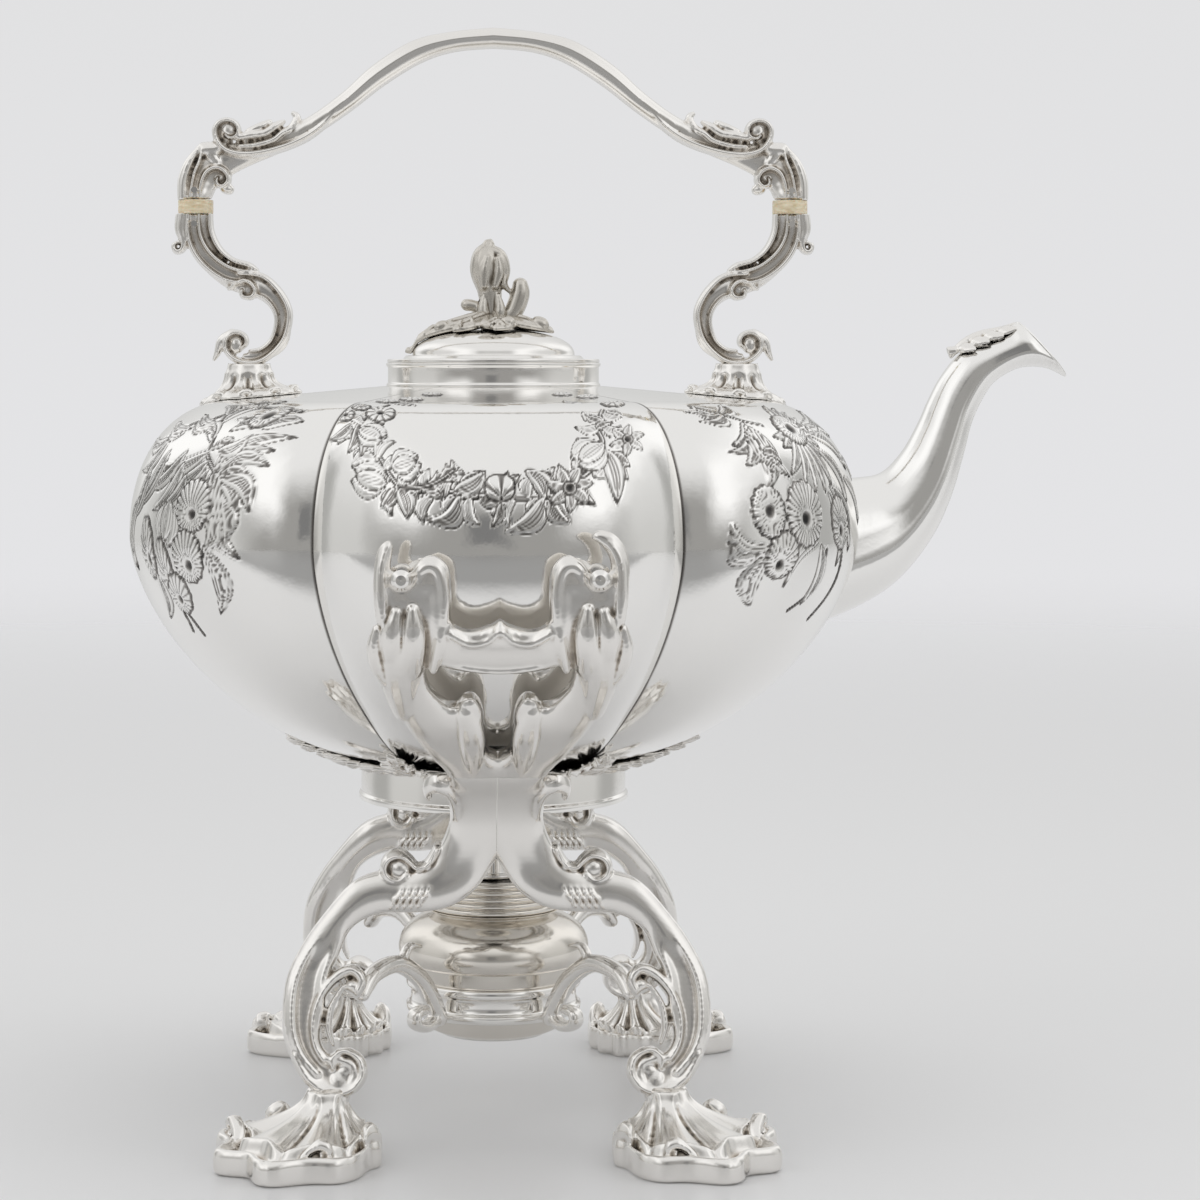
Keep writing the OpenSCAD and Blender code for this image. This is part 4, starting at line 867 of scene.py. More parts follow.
# %% Acanthus and bells on the lobe to the left
def chase_left(c):
    c.stem([(38.8, 49), (25, 52), (11.2, 47), (17.3, 35.6), (19.3, 29.4), (26.6, 23.5)])
    c.stem([(11, 47), (0, 40), (-12, 34)])
    c.stem([(6.2, -21), (8.7, -25), (10.6, -31)], 0.7)
    c.stem([(5.0, -21), (5.5, -26), (4.5, -30)], 0.7)
    c.leaves(
            ((26.6, 23.5), (36.5, 35.5), 6.4, 0.16), ((27, 23.5), (47.0, 36.0), 6.4, 0.2),
            ((28, 24), (44.0, 31.0), 5.6, 0.16), ((28, 23.5), (45.0, 25.4), 6.0, 0.24),
            ((29, 22.5), (41.0, 19.8), 5.0, 0.2), ((30, 21.5), (38.4, 8.0), 6.6, 0.22),
            ((30.5, 21.5), (43.0, 11.0), 6.4, 0.26), ((29, 22.0), (40.8, -3.4), 7.4, -0.16),
            ((26, 23.0), (27.0, 8.0), 4.6, -0.16), ((24, 24.0), (15.0, 17.0), 5.2, 0.2),
            ((22, 27.0), (3.6, 20.0), 6.0, 0.2), ((20, 30.0), (-8.0, 26.0), 6.0, 0.16),
            ((18, 34.0), (3.0, 38.4), 6.0, -0.25), ((16, 37.0), (-10.0, 36.0), 5.0, -0.2),
            ((14, 42.0), (22.0, 52.0), 4.6, 0.2), ((12, 46.0), (1.0, 52.0), 5.0, -0.2),
            ((19, 31.0), (30.0, 30.0), 4.6, 0.3), ((8, 30), (-14, 18), 5.4, 0.2),
            ((-10, 34), (-24, 22), 6.0, 0.2), ((-12, 34), (-28, 34), 6.0, 0.2),
            ((30, 50), (19, 44), 6.0, 0.24), ((33, 42), (22, 38), 6.0, -0.2),
            ((34, 40), (44, 43), 6.0, 0.2),
            ((24, 30), (33, 37), 6.4, -0.22), ((12, 40), (-2, 46), 7.0, 0.2),
            ((-2, 38), (-18, 42), 7.0, 0.2),
            ((-4, 30), (-20, 10), 7.0, 0.16), ((-14, 24), (-26, 6), 7.0, 0.2),
            ((10, 26), (-4, 10), 6.6, 0.2),
            ((-18, 14), (-22, -10), 7.0, -0.2), ((14, 22), (4, 12), 6.0, 0.2),
            ((34, 14), (35.6, 2), 6.0, 0.2))
    c.blooms(18, 0.36, ((30.9, 46), 5, 6.4, 0))
    c.star((16, 56), 7, 8, 5, 0.36)
    c.leaves(((31, 9.6), (27.6, -1.2), 6.6, 0.2), ((27.4, 0.6), (26, -22), 7.6, 0.24))
    c.bud((7.8, 13.5), (6.2, -1), 11.5)
    c.blooms(16, 0.2, ((4.2, -8), 4.6, 10, 10), ((-7, -2), 5, 10, 8), eye_at=(0.1, -0.35))
    c.leaves(((-3, -10), (-8, -26), 6, 0.2))
    c.blooms(26, 0.2, ((20.6, 12.4), 8.2, 8.6, -10), ((18.4, -3.4), 7.8, 8.4, -6), eye_at=(0.1, -0.3))
    c.blooms(18, 0.2, ((8.6, -16), 6, 7.2, -24), eye_at=(0, -0.3))


# %% Daisy and bells on the lobe to the right
def chase_right(c):
    c.stem([(-40, 48), (-31.8, 47), (-26.3, 43), (-20, 41)])
    c.stem([(5.6, -1.3), (7.5, -10), (5.0, -18), (-2, -26)], 0.8)
    c.stem([(-6, -2), (-7, -10), (-12, -17), (-19, -21.5)], 0.8)
    c.leaves(
            ((-30.5, 47.0), (-41.0, 49.0), 5.0, 0.3), ((-30.5, 47.0), (-36.0, 54.0), 4.6, 0.2),
            ((-30.5, 47.0), (-24.0, 54.0), 4.6, -0.2), ((-31, 46.0), (-42.0, 43.0), 4.4, 0.2),
            ((-27.2, 42.2), (-39.4, 32.6), 4.6, 0.16), ((-29, 39.0), (-42.0, 30.2), 4.0, 0.2),
            ((-30, 38.0), (-38.8, 25.2), 5.0, 0.16), ((-27.3, 41.0), (-33.4, 17.6), 8.6, 0.1),
            ((-27.3, 40.0), (-22.6, 21.4), 7.6, -0.24), ((-30, 30.0), (-23.8, 26.0), 4.0, 0.3))
    for k in range(15):
        a = math.radians(-168 + 17 * k)
        reach = 15.5 + (9.0 if 2 <= k <= 6 else 0.0)
        tip = (-6.7 + reach * math.cos(a) * 0.9, 38.6 + reach * math.sin(a) * 0.95)
        c.leaf((-6.7, 38.6), tip, 4.4, bend=0.08, veins=0.8)
    c.blooms(30, 0.3, ((-6.7, 38.6), 7.4, 6.6, 0), high=1.2)
    c.leaves(
            ((5, 36), (24, 22), 6.4, 0.2), ((6, 38), (28, 34), 6.0, 0.2), ((6, 40), (24, 48), 6.0, -0.2),
            ((3, 30), (12, 10), 6.0, 0.2), ((20, 26), (36, 18), 5.0, 0.2), ((16, 20), (28, 4), 6.0, 0.2),
            ((-2, 16), (3, -8), 5.0, 0.14), ((0, 18), (12, -4), 6.0, 0.2),
            ((-12, 2), (-26.6, -13.4), 8.6, -0.3), ((-10, 0), (-13.6, -20), 6, 0.2),
            ((-36.6, -1), (-47.6, 7.6), 8.6, 0.42), ((-37, -2.6), (-37.4, -19), 7.8, -0.22))
    c.blooms(24, 0.22, ((-30.2, -2.6), 6.6, 7.6, -26), eye_at=(0.05, -0.4))
    c.blooms(28, 0.22, ((-18.6, 9.8), 9.4, 10.4, -8), eye_at=(0, -0.15))
    c.blooms(26, 0.26, ((-35, 11), 6.4, 8.2, 0))
    c.blooms(22, 0.22, ((4, 6), 6.4, 8.6, 10), eye_at=(0, -0.3))


# %% [markdown]
# Each lobe starts as a flat grid. Its columns run from groove to groove and its rows up the
# profile, closer together where there is chasing. The relief is pushed out along the normal.


# %% Lobes
COLUMNS, ROWS = ((300, 320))
# where each kind of chasing needs more columns: even places, and where they go
DENSE = {"chase_swag": ([-1, -0.9, 0.9, 1], [-1, -0.84, 0.84, 1]),
         "chase_left": ([-1, 0.66, 1], [-1, 0.42, 1]), "chase_right": ([-1, -0.66, 1], [-1, -0.42, 1])}


def make_lobe(name, middle, chase, mirror=1):
    bm = bmesh.new()
    bmesh.ops.create_grid(bm, x_segments=COLUMNS, y_segments=ROWS, size=1)
    mesh = as_mesh(bm, name)
    u, v = points_of(mesh)[:, :2].astype(float).T
    u = np.interp(u * mirror, *DENSE[chase.__name__]) * mirror
    length, r, z, share = PROFILE
    t = np.interp(v, [-1, -0.66, 1], [length[0], -36, length[-1]])
    marks = Chasing(np.radians(30 * u) * girth_at(t, length, r, share, u) * mirror, t)
    chase(marks)
    keep = fade((1 - np.abs(u)) / 0.03) * fade((length[-1] - t) / 3)
    rise = (marks.rise * 0.8 - marks.cut * 0.35) * keep
    at = body_at(middle, u, t) + body_normal(middle, u, t) * rise[:, None]
    mesh.vertices.foreach_set("co", at.astype(np.float32).ravel())
    mesh.update()
    face = mesh.polygons[len(mesh.polygons) // 2]
    if face.normal.dot(Vector((face.center[0], face.center[1], 0))) < 0:
        mesh.flip_normals()
    # the chased lines keep their tarnish, one side of each leaf is painted shade, and the grooves darken
    # with tarnish and painted shade
    groove = fade((np.abs(u) - 0.985) / 0.015) * 0.75
    store(mesh, "hollow", np.clip(np.maximum(marks.cut * keep, groove), 0, 1))
    finish_mesh(name, mesh, "kettle", "kettle_body", raised_silver)


for name, middle, chase, mirror in (
        ("lobe_front", 270, chase_swag, 1), ("lobe_front_left", 210, chase_left, 1),
        ("lobe_front_right", 330, chase_right, 1), ("lobe_rear", 90, chase_swag, -1),
        ("lobe_rear_left", 150, chase_left, -1), ("lobe_rear_right", 30, chase_right, -1)):
    make_lobe(name, middle, chase, mirror)

# %% [markdown]
# Under the lobes lies the wall of the kettle, seen from inside through the mouth and from below
# inside the foot rim. It is one closed skin: up the outside, over the edge of the mouth, and back
# down the inside.


# %% Wall of the kettle
def wall_ring(profile, t, sides=120):
    w = np.arange(sides) * 360 / sides
    middle = np.floor(w / 60) * 60 + 30
    return body_at(middle, (w - middle) / 30, np.full(sides, t), profile)


def make_wall():
    bm = bmesh.new()
    outside, inside = body_profile(0.5), body_profile(1.3)
    rings = [wall_ring(outside, t) * (0.994, 0.994, 1) for t in np.linspace(outside[0][0], outside[0][-1],
                                                                            40)]
    turn = np.radians(np.arange(120) * 3)
    for r, z in ((MOUTH_R + 0.1, COLLAR_Z - 0.3), (MOUTH_R + 0.1, COLLAR_Z - 1.2)):
        rings.append(np.stack([r * np.cos(turn), r * np.sin(turn), np.full(120, z)], -1))
    rings += [wall_ring(inside, t) * (0.988, 0.988, 1) for t in np.linspace(inside[0][-1] - 1, inside[0][0],
                                                                            30)]
    sweep(bm, rings)
    finish_piece("kettle_wall", bm, "kettle", "kettle_body", raised_silver)


make_wall()

# %% [markdown]
# ## Turned pieces
# The foot rim, the collar, the lid, the lamp and its ring were spun on a lathe. Each is one profile
# spun about the kettle's axis, with a small bevel where two faces meet so that the edge glints.


# %% Lathe
def lathe(name, profile, body, node, material=None, bevel=0.25, steps=128):
    """Spins a closed or open profile of (radius, height) points about the axis."""
    bm = bmesh.new()
    verts = [bm.verts.new((r, 0, z)) for r, z in profile]
    edges = [bm.edges.new(pair) for pair in zip(verts, verts[1:])]
    on_axis = profile[0][0] < 1e-6 and profile[-1][0] < 1e-6
    if not on_axis:
        edges.append(bm.edges.new((verts[-1], verts[0])))
    bmesh.ops.spin(bm, geom=verts + edges, cent=(0, 0, 0), axis=(0, 0, 1), angle=2 * math.pi,
                   steps=steps, use_merge=True)
    bmesh.ops.remove_doubles(bm, verts=bm.verts, dist=0.0005)
    bmesh.ops.recalc_face_normals(bm, faces=bm.faces)
    if bevel:
        sharp = [e for e in bm.edges if len(e.link_faces) == 2 and e.calc_face_angle() > 0.5]
        bmesh.ops.bevel(bm, geom=sharp, offset=bevel, affect="EDGES", segments=2, profile=0.5,
                        material=-1, clamp_overlap=True)
    finish_piece(name, bm, body, node, material or turned_silver)


lathe("foot_rim_band", [(RIM_R, -BELLY_H), (RIM_R, -BELLY_H - RIM_H + 2.6),
                        (RIM_R + 0.3, -BELLY_H - RIM_H + 2.2), (RIM_R + 0.8, -BELLY_H - RIM_H + 1.6),
                        (RIM_R + 0.8, -BELLY_H - RIM_H), (RIM_R - 1.5, -BELLY_H - RIM_H),
                        (RIM_R - 1.5, -BELLY_H)], "kettle", "foot_rim")
lathe("neck_band", [(MOUTH_R, COLLAR_Z - 0.2), (COLLAR_R + 0.5, COLLAR_Z - 0.2),
                    (COLLAR_R + 0.5, COLLAR_Z + 0.6), (COLLAR_R, COLLAR_Z + 1.0),
                    (COLLAR_R, LID_Z - 1.4), (COLLAR_R + 0.6, LID_Z - 0.8),
                    (COLLAR_R + 0.6, LID_Z), (MOUTH_R, LID_Z)], "kettle", "neck_collar")

# %% [markdown]
# The lid is a flanged dome with a bezel that drops into the mouth. Its finial is held by a nut
# under the dome.

# %% Lid
LID_LOW, DOME_Z, DOME_R, DOME_H = LID_Z + 0.04, LID_Z + 2.54, 27.0, 8.6


def dome(r, h, steps=16):
    a = np.radians(np.linspace(0, 90, steps + 1))
    return [(r * math.cos(k) ** 0.8 if math.cos(k) > 1e-6 else 0.0,
             DOME_Z + h * math.sin(k) ** 0.9) for k in a]


lathe("lid_dome",
      [(0, DOME_Z + DOME_H)] + dome(DOME_R, DOME_H)[-2::-1] + [
          (DOME_R + 2, DOME_Z), (DOME_R + 3, LID_LOW + 1.3), (COLLAR_R + 0.2, LID_LOW + 1.3),
          (COLLAR_R + 0.2, LID_LOW), (MOUTH_R - 0.6, LID_LOW), (MOUTH_R - 0.6, LID_LOW - 4),
          (DOME_R - 1.2, LID_LOW - 4)] + dome(DOME_R - 1.2, DOME_H - 1.2), "lid", "lid", bevel=0.3)

# %% [markdown]
# The lamp is a flattened globe that sits in its ring. A reeded collar closes it round the wick
# tube, and a small cap keeps the spirit from drying out of the wick.

# %% Lamp ring
RING_R, RING_Z = 29.0, 31.0
lathe("moulded_ring", smooth_line([(RING_R - 2.6, RING_Z), (RING_R - 0.6, RING_Z), (RING_R, RING_Z + 1),
                               (RING_R, RING_Z + 2.4), (RING_R - 1.1, RING_Z + 3.4),
                               (RING_R - 1.4, RING_Z + 5.5), (RING_R - 1.1, RING_TOP - 3.4),
                               (RING_R, RING_TOP - 2.4), (RING_R, RING_TOP - 0.8),
                               (RING_R - 0.6, RING_TOP), (RING_R - 2.6, RING_TOP)], 3),
      "stand", "lamp_ring", bevel=0)

# %% Lamp
LAMP_R, LAMP_MID, BOWL_R, BURNER_R = 31.7, 52.0, 26.1, 22.5


def globe(r, low, high, steps=24):
    out = []
    for k in np.radians(np.linspace(-62, 62, steps + 1)):
        reach = (LAMP_MID - low) if k < 0 else (high - LAMP_MID)
        out.append((r * math.cos(k) ** 0.62, LAMP_MID + reach * math.sin(k) / math.sin(math.radians(62))))
    return out


def lamp_profile():
    low = RING_TOP - 18.5
    bowl = [(0, low), (BOWL_R - 8, low), (BOWL_R - 4, low + 2), (BOWL_R - 0.8, low + 8),
            (BOWL_R, RING_TOP - 4), (BOWL_R, RING_TOP), (RING_R - 1.2, RING_TOP + 0.04)]
    outside = [p for p in globe(LAMP_R, RING_TOP + 1.4, GLOBE_TOP - 1.5)
               if p[0] > RING_R - 1.2 or p[1] > LAMP_MID]
    inside = [p for p in globe(LAMP_R - 1, RING_TOP + 1.6, GLOBE_TOP - 2.5)[::-1] if p[0] > 17]
    return bowl + outside + [(BURNER_R + 0.5, GLOBE_TOP), (16, GLOBE_TOP),
                             (16, GLOBE_TOP - 1.4)] + inside + [
        (BOWL_R - 1, RING_TOP - 0.6), (BOWL_R - 1, RING_TOP - 4), (BOWL_R - 2.2, low + 8.2),
        (BOWL_R - 5.6, low + 3.4), (BOWL_R - 8, low + 1), (0, low + 1)]


lathe("lamp_globe", lamp_profile(), "lamp", "lamp_body", material=lamp_silver, bevel=0.3)


def reeds():
    low, reed = GLOBE_TOP + 0.04, 2.0
    out = [(6.04, low - 4), (15.92, low - 4), (15.92, low)]
    for k in range(5):
        r = BURNER_R - k * 1.15 - reed / 2
        for a in range(-90, 91, 15):
            a = math.radians(a)
            out.append((r + math.cos(a), low + (k + 0.5) * reed + math.sin(a)))
    return out + [(6.04, low + 10)]


lathe("reeded_burner", reeds(), "lamp", "lamp_collar", material=lamp_silver, bevel=0)
lathe("burner_tube", [(5, 57), (6, 57), (6, 80), (5, 80)], "lamp", "wick_tube", bevel=0.2, steps=64)
lathe("wick_end", [(0, 39), (4.96, 39), (4.96, 81), (4.4, 81.5), (0, 81.3)], "lamp", "wick",
      material=cotton, bevel=0, steps=48)
CAP_Z = GLOBE_TOP + 10.08
lathe("snuffer", [(0, CAP_Z + 10.2), (2.4, CAP_Z + 9.6), (2.4, CAP_Z + 8.6), (5.9, CAP_Z + 8.2),
                  (7.3, CAP_Z + 6.8), (7.3, CAP_Z + 2), (8.5, CAP_Z + 1.2), (8.5, CAP_Z), (6.3, CAP_Z),
                  (6.3, CAP_Z + 6), (5.5, CAP_Z + 7), (0, CAP_Z + 7.4)],
      "snuffer", "snuffer_cap", steps=80)

# %% [markdown]
# ## Spout
# The spout is a hollow swan neck, seamed down its underside, that ends in a beak with a rolled lip.
# Its root follows the two lobes that it stands between.


# %% Spout
def body_x(y, z):
    """How far out along X the body's surface is at a depth and height."""
    length, r, height, share = PROFILE
    x = 110.0
    for _ in range(8):
        u = np.abs((np.degrees(np.arctan2(y, x)) % 60) - 30) / 30
        x = np.sqrt(np.maximum(girth_at(z, height, r, share, u) ** 2 - y**2, 1))
    return x


def body_z(x, y):
    """Height of the shoulder above a place on it."""
    length, r, height, share = PROFILE
    up = np.linspace(0, COLLAR_Z, 400)
    q = girth_at(up, height, r, share, abs(math.degrees(math.atan2(y, x)) % 60 - 30) / 30)
    return float(np.interp(-math.hypot(x, y), -q, up))


SPOUT_WALL = 1.2
SPOUT_TOP = [[112, 17.6], [122, 18], [129.7, 19.8], [136.5, 27], [141.5, 36], [144.8, 43.5], [149, 51.5],
             [155.7, 59.5], [164, 63.3], [170, 66], [172.4, 68.6], [174.2, 69.7]]
SPOUT_LOW = [[108, -31], [126, -22.5], [137, -14], [146.5, -1.5], [152.5, 11.5], [156.5, 25],
             [159.5, 36.5], [163.5, 45], [167.5, 50.2], [175.3, 54.4], [184, 54.4], [190.6, 51.5]]
SPOUT_WIDTH = [44, 36, 30, 26, 23, 20, 17.5, 16, 15.4, 16, 17, 15]


def spout_ring(a, b, width, inset, turn):
    mid, half = (a + b) / 2, (b - a) / 2
    reach = np.linalg.norm(half)
    half = half * (reach - inset) / reach
    c, s = np.cos(turn), np.sin(turn)
    low = np.clip(c, 0, 1)
    c = np.where(c > 0, full(c, 0.9), c)
    s = full(s, 1) * (1 + 0.07 * np.sin(np.pi * np.clip(low * 1.35, 0, 1)))
    return np.stack([mid[0] + half[0] * c, (width / 2 - inset) * s, mid[1] + half[1] * c], -1)


def make_spout():
    a, b = smooth_line(SPOUT_TOP, 6), smooth_line(SPOUT_LOW, 6)
    w = smooth_line([[k, k] for k in SPOUT_WIDTH], 6)[:, 0]
    turn = np.radians(np.arange(64) * 5.625)
    outside, inside = ([spout_ring(*at, inset, turn) for at in zip(a, b, w)] for inset in (0, SPOUT_WALL))
    for ring in (outside[0], inside[0]):
        ring[:, 0] = body_x(ring[:, 1], ring[:, 2]) + 0.1
    out = (outside[-1] - inside[-1]) / SPOUT_WALL
    roll = [inside[-1] * 0.5 + outside[-1] * 0.5 + out * 0.62 * math.cos(k)
            + np.array([0.55, 0, 0.35]) * math.sin(k) for k in np.radians([0, 30, 60, 90, 120, 150, 180])]
    bm = bmesh.new()
    sweep(bm, outside + roll + inside[::-1] + outside[:1], ends=False)
    finish_piece("swan_neck", bm, "kettle", "spout", raised_silver, hollow=(0.3, 1.2))


make_spout()

# %% [markdown]
# A cast leaf lies on the beak. Its lobes turn up at the sides, and its stalk curls over behind.


# %% Leaf on the beak
def make_beak_leaf():
    bm = bmesh.new()
    line = smooth_line([[152, 57.6], [156, 60.6], [163, 64.2], [170, 66.6], [177, 70.4]], 8)
    reach = np.concatenate([[0], np.cumsum(np.hypot(*np.diff(line, axis=0).T))])

    def on_beak(s, y, d):
        x, z = np.interp(s, reach, line[:, 0]), np.interp(s, reach, line[:, 1])
        drop = 0.055 * y**2
        return np.stack([x - 0.3 * d, y + 0 * s, z + d - drop], -1)

    stroke(bm, [[1, 0], [8, 0], [16, 0], [25, 0]], [2.4, 3.4, 3.0, 1.4], [2.4, 2.8, 2.4, 1.2], on_beak,
           lift=[0.6, 1.6, 1.2, 0.4])
    for k in range(4):
        s = 4.5 + 5.0 * k
        for side in (-1, 1):
            stroke(bm, [[s, 0], [s + 1.2, side * 3.2], [s + 4.6, side * (6.4 - 0.5 * k)]], [3.2, 4.4, 1.2],
                   [2.0, 2.2, 1.0], on_beak, lift=[0.6, 0.8, 0.5])
    stroke(bm, [[3, 0], [0.5, 0], [-1.2, 0]], [4.0, 3.6, 2.4], [2.6, 3.2, 2.2], on_beak,
           lift=[0.8, 2.0, 2.8])
    finish_piece("beak_leaf", melt(bm, 0.3, 3), "kettle", "spout_leaf", cast_silver, channel=0.5)


make_beak_leaf()

# %% [markdown]
# ## Foliage round the foot
# Small cast leaves are soldered on where the rim meets the belly. They overlap in two rows, and a
# sprig stands up in each groove.


# %% Foliage
def on_foot(angle):
    """Flat drawing to the belly: across, up from the rim, and out from the surface."""
    length, r, z, share = PROFILE

    def to(across, up, out):
        t = length[0] + np.maximum(up, 0.3)
        w = angle + np.degrees(across / np.interp(t, length, r))
        u = (w % 60 - 30) / 30
        at = body_at(np.floor(w / 60) * 60 + 30, u, t)
        lean = 0.35 + 0.4 * np.clip(up / 25, 0, 1)
        return at + np.stack([out * np.cos(np.radians(w)) * lean, out * np.sin(np.radians(w)) * lean,
                              -out * np.sqrt(1 - lean**2)], -1)
    return to


def small_leaf(bm, to, base, tip, width, curl=0.8):
    mid = [(base[0] + tip[0]) / 2 + (tip[1] - base[1]) * 0.12, (base[1] + tip[1]) / 2]
    stroke(bm, [base, mid, tip], [width * 0.6, width * 1.1, width * 0.3], [2.4, 2.8, 1.6], to,
           sides=8, steps=4, lift=[1.0, 1.4 + curl * 0.5, 1.2 + curl])
    stroke(bm, [base, mid, tip], [1.1, 1.0, 0.7], [1.6, 1.6, 1.0], to, sides=6, steps=3,
           lift=[2.4, 2.9 + curl * 0.5, 2.0 + curl])


def make_foliage():
    bm = bmesh.new()
    for k in range(6):
        to = on_foot(60 * k + 0.001)
        for across in (-21, -15, -9, -3, 3, 9, 15, 21):
            lean = across * 0.22
            small_leaf(bm, to, (across, 0.4), (across + lean, 7.6 - abs(across) * 0.12), 5.2)
        for across in (-18, -12, -6, 6, 12, 18):
            small_leaf(bm, to, (across, 1.5), (across * 1.25, 13.2 - abs(across) * 0.3), 4.2, curl=1.2)
        stroke(bm, [[0, 1], [0.4, 12], [0, 21]], [3.4, 2, 1.4], [2.4, 2, 1.4], to, lift=1)
        for side in (-1, 1):
            small_leaf(bm, to, (0, 6), (side * 6.4, 13.6), 4.4, curl=1.4)
            small_leaf(bm, to, (0, 13), (side * 5.2, 19.4), 4.0, curl=1.4)
            small_leaf(bm, to, (0, 18), (side * 3.6, 25.4), 3.6, curl=1.4)
        small_leaf(bm, to, (0, 19), (0.2, 27.6), 3.6, curl=1.0)
    finish_piece("foot_leaves", melt(bm, 0.42, 2), "kettle", "base_foliage", cast_silver, channel=0.5)


make_foliage()

# %% [markdown]
# ## Handle
# The handle was cast in scrolls and pinned to two fluted sockets. Each scroll has a raised rim along
# both edges and a sunk channel between them. A soft ridge runs along the grip's bar.

# %% Measures of the handle
GRIP_OUTER = [[0, 167.4], [-14, 166], [-27, 163], [-40, 155], [-50, 146], [-61, 138], [-72, 133],
              [-81, 129.8], [-89, 128.6], [-96.5, 125.5], [-101.5, 119.5], [-104.3, 110.3]]
GRIP_INNER = [[0, 159.8], [-13, 158.6], [-24, 154.8], [-36, 147.4], [-47, 139], [-59, 131],
              [-71, 125], [-79, 121.6], [-84.5, 118.8], [-88, 116.5], [-91, 113.8], [-92.8, 110.3]]
ARM_OUTER = [[-104.3, 105], [-103, 98], [-100, 91], [-94.4, 84.6], [-87.7, 79.6], [-80, 77.5],
             [-75, 74.6], [-72, 70], [-73.4, 64], [-78, 60.6], [-83, 59.4]]
ARM_INNER = [[-92.8, 105], [-92.8, 100], [-92, 96], [-87.5, 89.5], [-80.5, 86.3], [-73.5, 83],
             [-68.2, 77.5], [-66.5, 70], [-68, 61.5], [-74.5, 56.9], [-83, 57]]
SOCKET_X, SOCKET_TOP = 81.0, 56.0
DISC_X, DISC_LOW, DISC_H, DISC_R = 98.55, 105.36, 4.6, 5.8


def inner_line(a, b, share):
    return [[p[0] + (q[0] - p[0]) * share, p[1] + (q[1] - p[1]) * share] for p, q in zip(a, b)]


# %% Grip
def grip_half(bm, side):
    to, outer, inner = upright(side), GRIP_OUTER, GRIP_INNER
    between(bm, inner_line(outer, inner, 0.04), inner_line(outer, inner, 0.96),
            [10.6, 10.6, 10.6, 10.6, 10.2, 9.4, 7.0, 5.6, 5.4, 5.6, 6.4, 9.6], to, sides=24, steps=8,
            power=0.95)
    # a soft ridge along the bar
    line = inner_line(outer, inner, 0.46)
    stroke(bm, [[0.5, line[0][1]]] + line[1:6], [3.6, 3.6, 3.6, 3.4, 3.0, 1.6],
           [11.5, 11.5, 11.5, 11.5, 11, 9.4], to,
           tips=False, power=1)
    strokes(bm, to, (
        # the lower rim of the bar turns up at its end and winds into a volute
        ([[-50, 141.6], [-57, 134.2], [-64, 129.6], [-73.5, 126.2], [-82, 125], [-88, 126.2], [-91, 129.2],
          [-92, 132.8], [-90.6, 135.4], [-87.8, 136.3], [-85.2, 135.2], [-84.2, 132.9], [-85, 130.9],
          [-87.1, 130.3], [-88.6, 131.4]],
         [2.4, 2.8, 3, 3, 3, 2.8, 2.5, 2.3, 2.1, 2, 1.9, 1.8, 1.6, 1.5, 1.5],
         [10, 11, 11.2, 11.2, 11.2, 11.2, 11, 10.8, 10.6, 10.4, 10.4, 10.2, 10, 9.8, 9.6]),
        # leaves that lie along the bar over a dark channel
        ([[-84.4, 130.4], [-80.3, 131.2], [-75.2, 132], [-71.8, 134.4], [-69.4, 135.9]],
         [2.8, 3.6, 3.8, 3.2, 1.6], [8.8, 10, 10.2, 8.6, 5]),
        ([[-84, 127.6], [-78.6, 127.9], [-72.7, 129.6], [-69.8, 131.8], [-66.7, 133.6], [-64.9, 137.2],
          [-66.2, 138.6]], [2, 2.7, 3, 3.2, 3.2, 2.6, 1.8], [8, 9.6, 10.4, 10.4, 9.6, 7.4, 5]),
        ([[-81, 132.6], [-77, 134.2], [-74, 136]], [2.4, 3, 1.6], [7, 7.4, 4]),
        ([[-95.6, 126.6], [-92.4, 126.6], [-89.6, 127.4]], [5.4, 5.4, 4], [8, 8.4, 8]),
        # the leaf down the outer side, with its rim, and the volute beside the disc
        ([[-96.9, 127.6], [-100.4, 122.4], [-102.4, 116.6], [-102.6, 110.5]], [1.8, 3.6, 4.2, 4],
         [5, 8.6, 9.8, 10]),
        ([[-96.1, 127.8], [-96.9, 123], [-98.8, 118.2], [-100.2, 110.5]], [1.4, 1.7, 1.7, 1.7],
         [7, 10, 10.6, 10.8]),
        ([[-96.9, 110.5], [-96.6, 114.8], [-94.8, 119], [-91.4, 120.6], [-88.4, 119], [-87.6, 116.4],
          [-89.4, 114.5], [-91.4, 115.4], [-91, 117.2]], [1.8, 2, 2.2, 2.3, 2.2, 2, 1.8, 1.6, 1.4],
         [10.8, 10.8, 10.8, 10.8, 10.6, 10.2, 9.8, 9.4, 9]),
        ([[-88.6, 113.9], [-87.6, 113.5]], [4, 3.8], [6.6, 6]),
        ([[-93, 124.6], [-91, 122]], [6, 4.6], [7.6, 7])))
    stroke(bm, [[-88, 132.6], [-87.6, 132.6]], 7.6, 6.2, to)
    stroke(bm, [[-90, 116.8], [-89.6, 116.8]], 5.4, 5.6, to)


def make_grip():
    bm = bmesh.new()
    for side in (1, -1):
        grip_half(bm, side)
    bm = trimmed(melt(bm, 0.36, 4), DISC_LOW + DISC_H + 0.04, False)
    finish_piece("scrolled_grip", bm, "kettle", "handle_grip", cast_silver, channel=0.8)


make_grip()


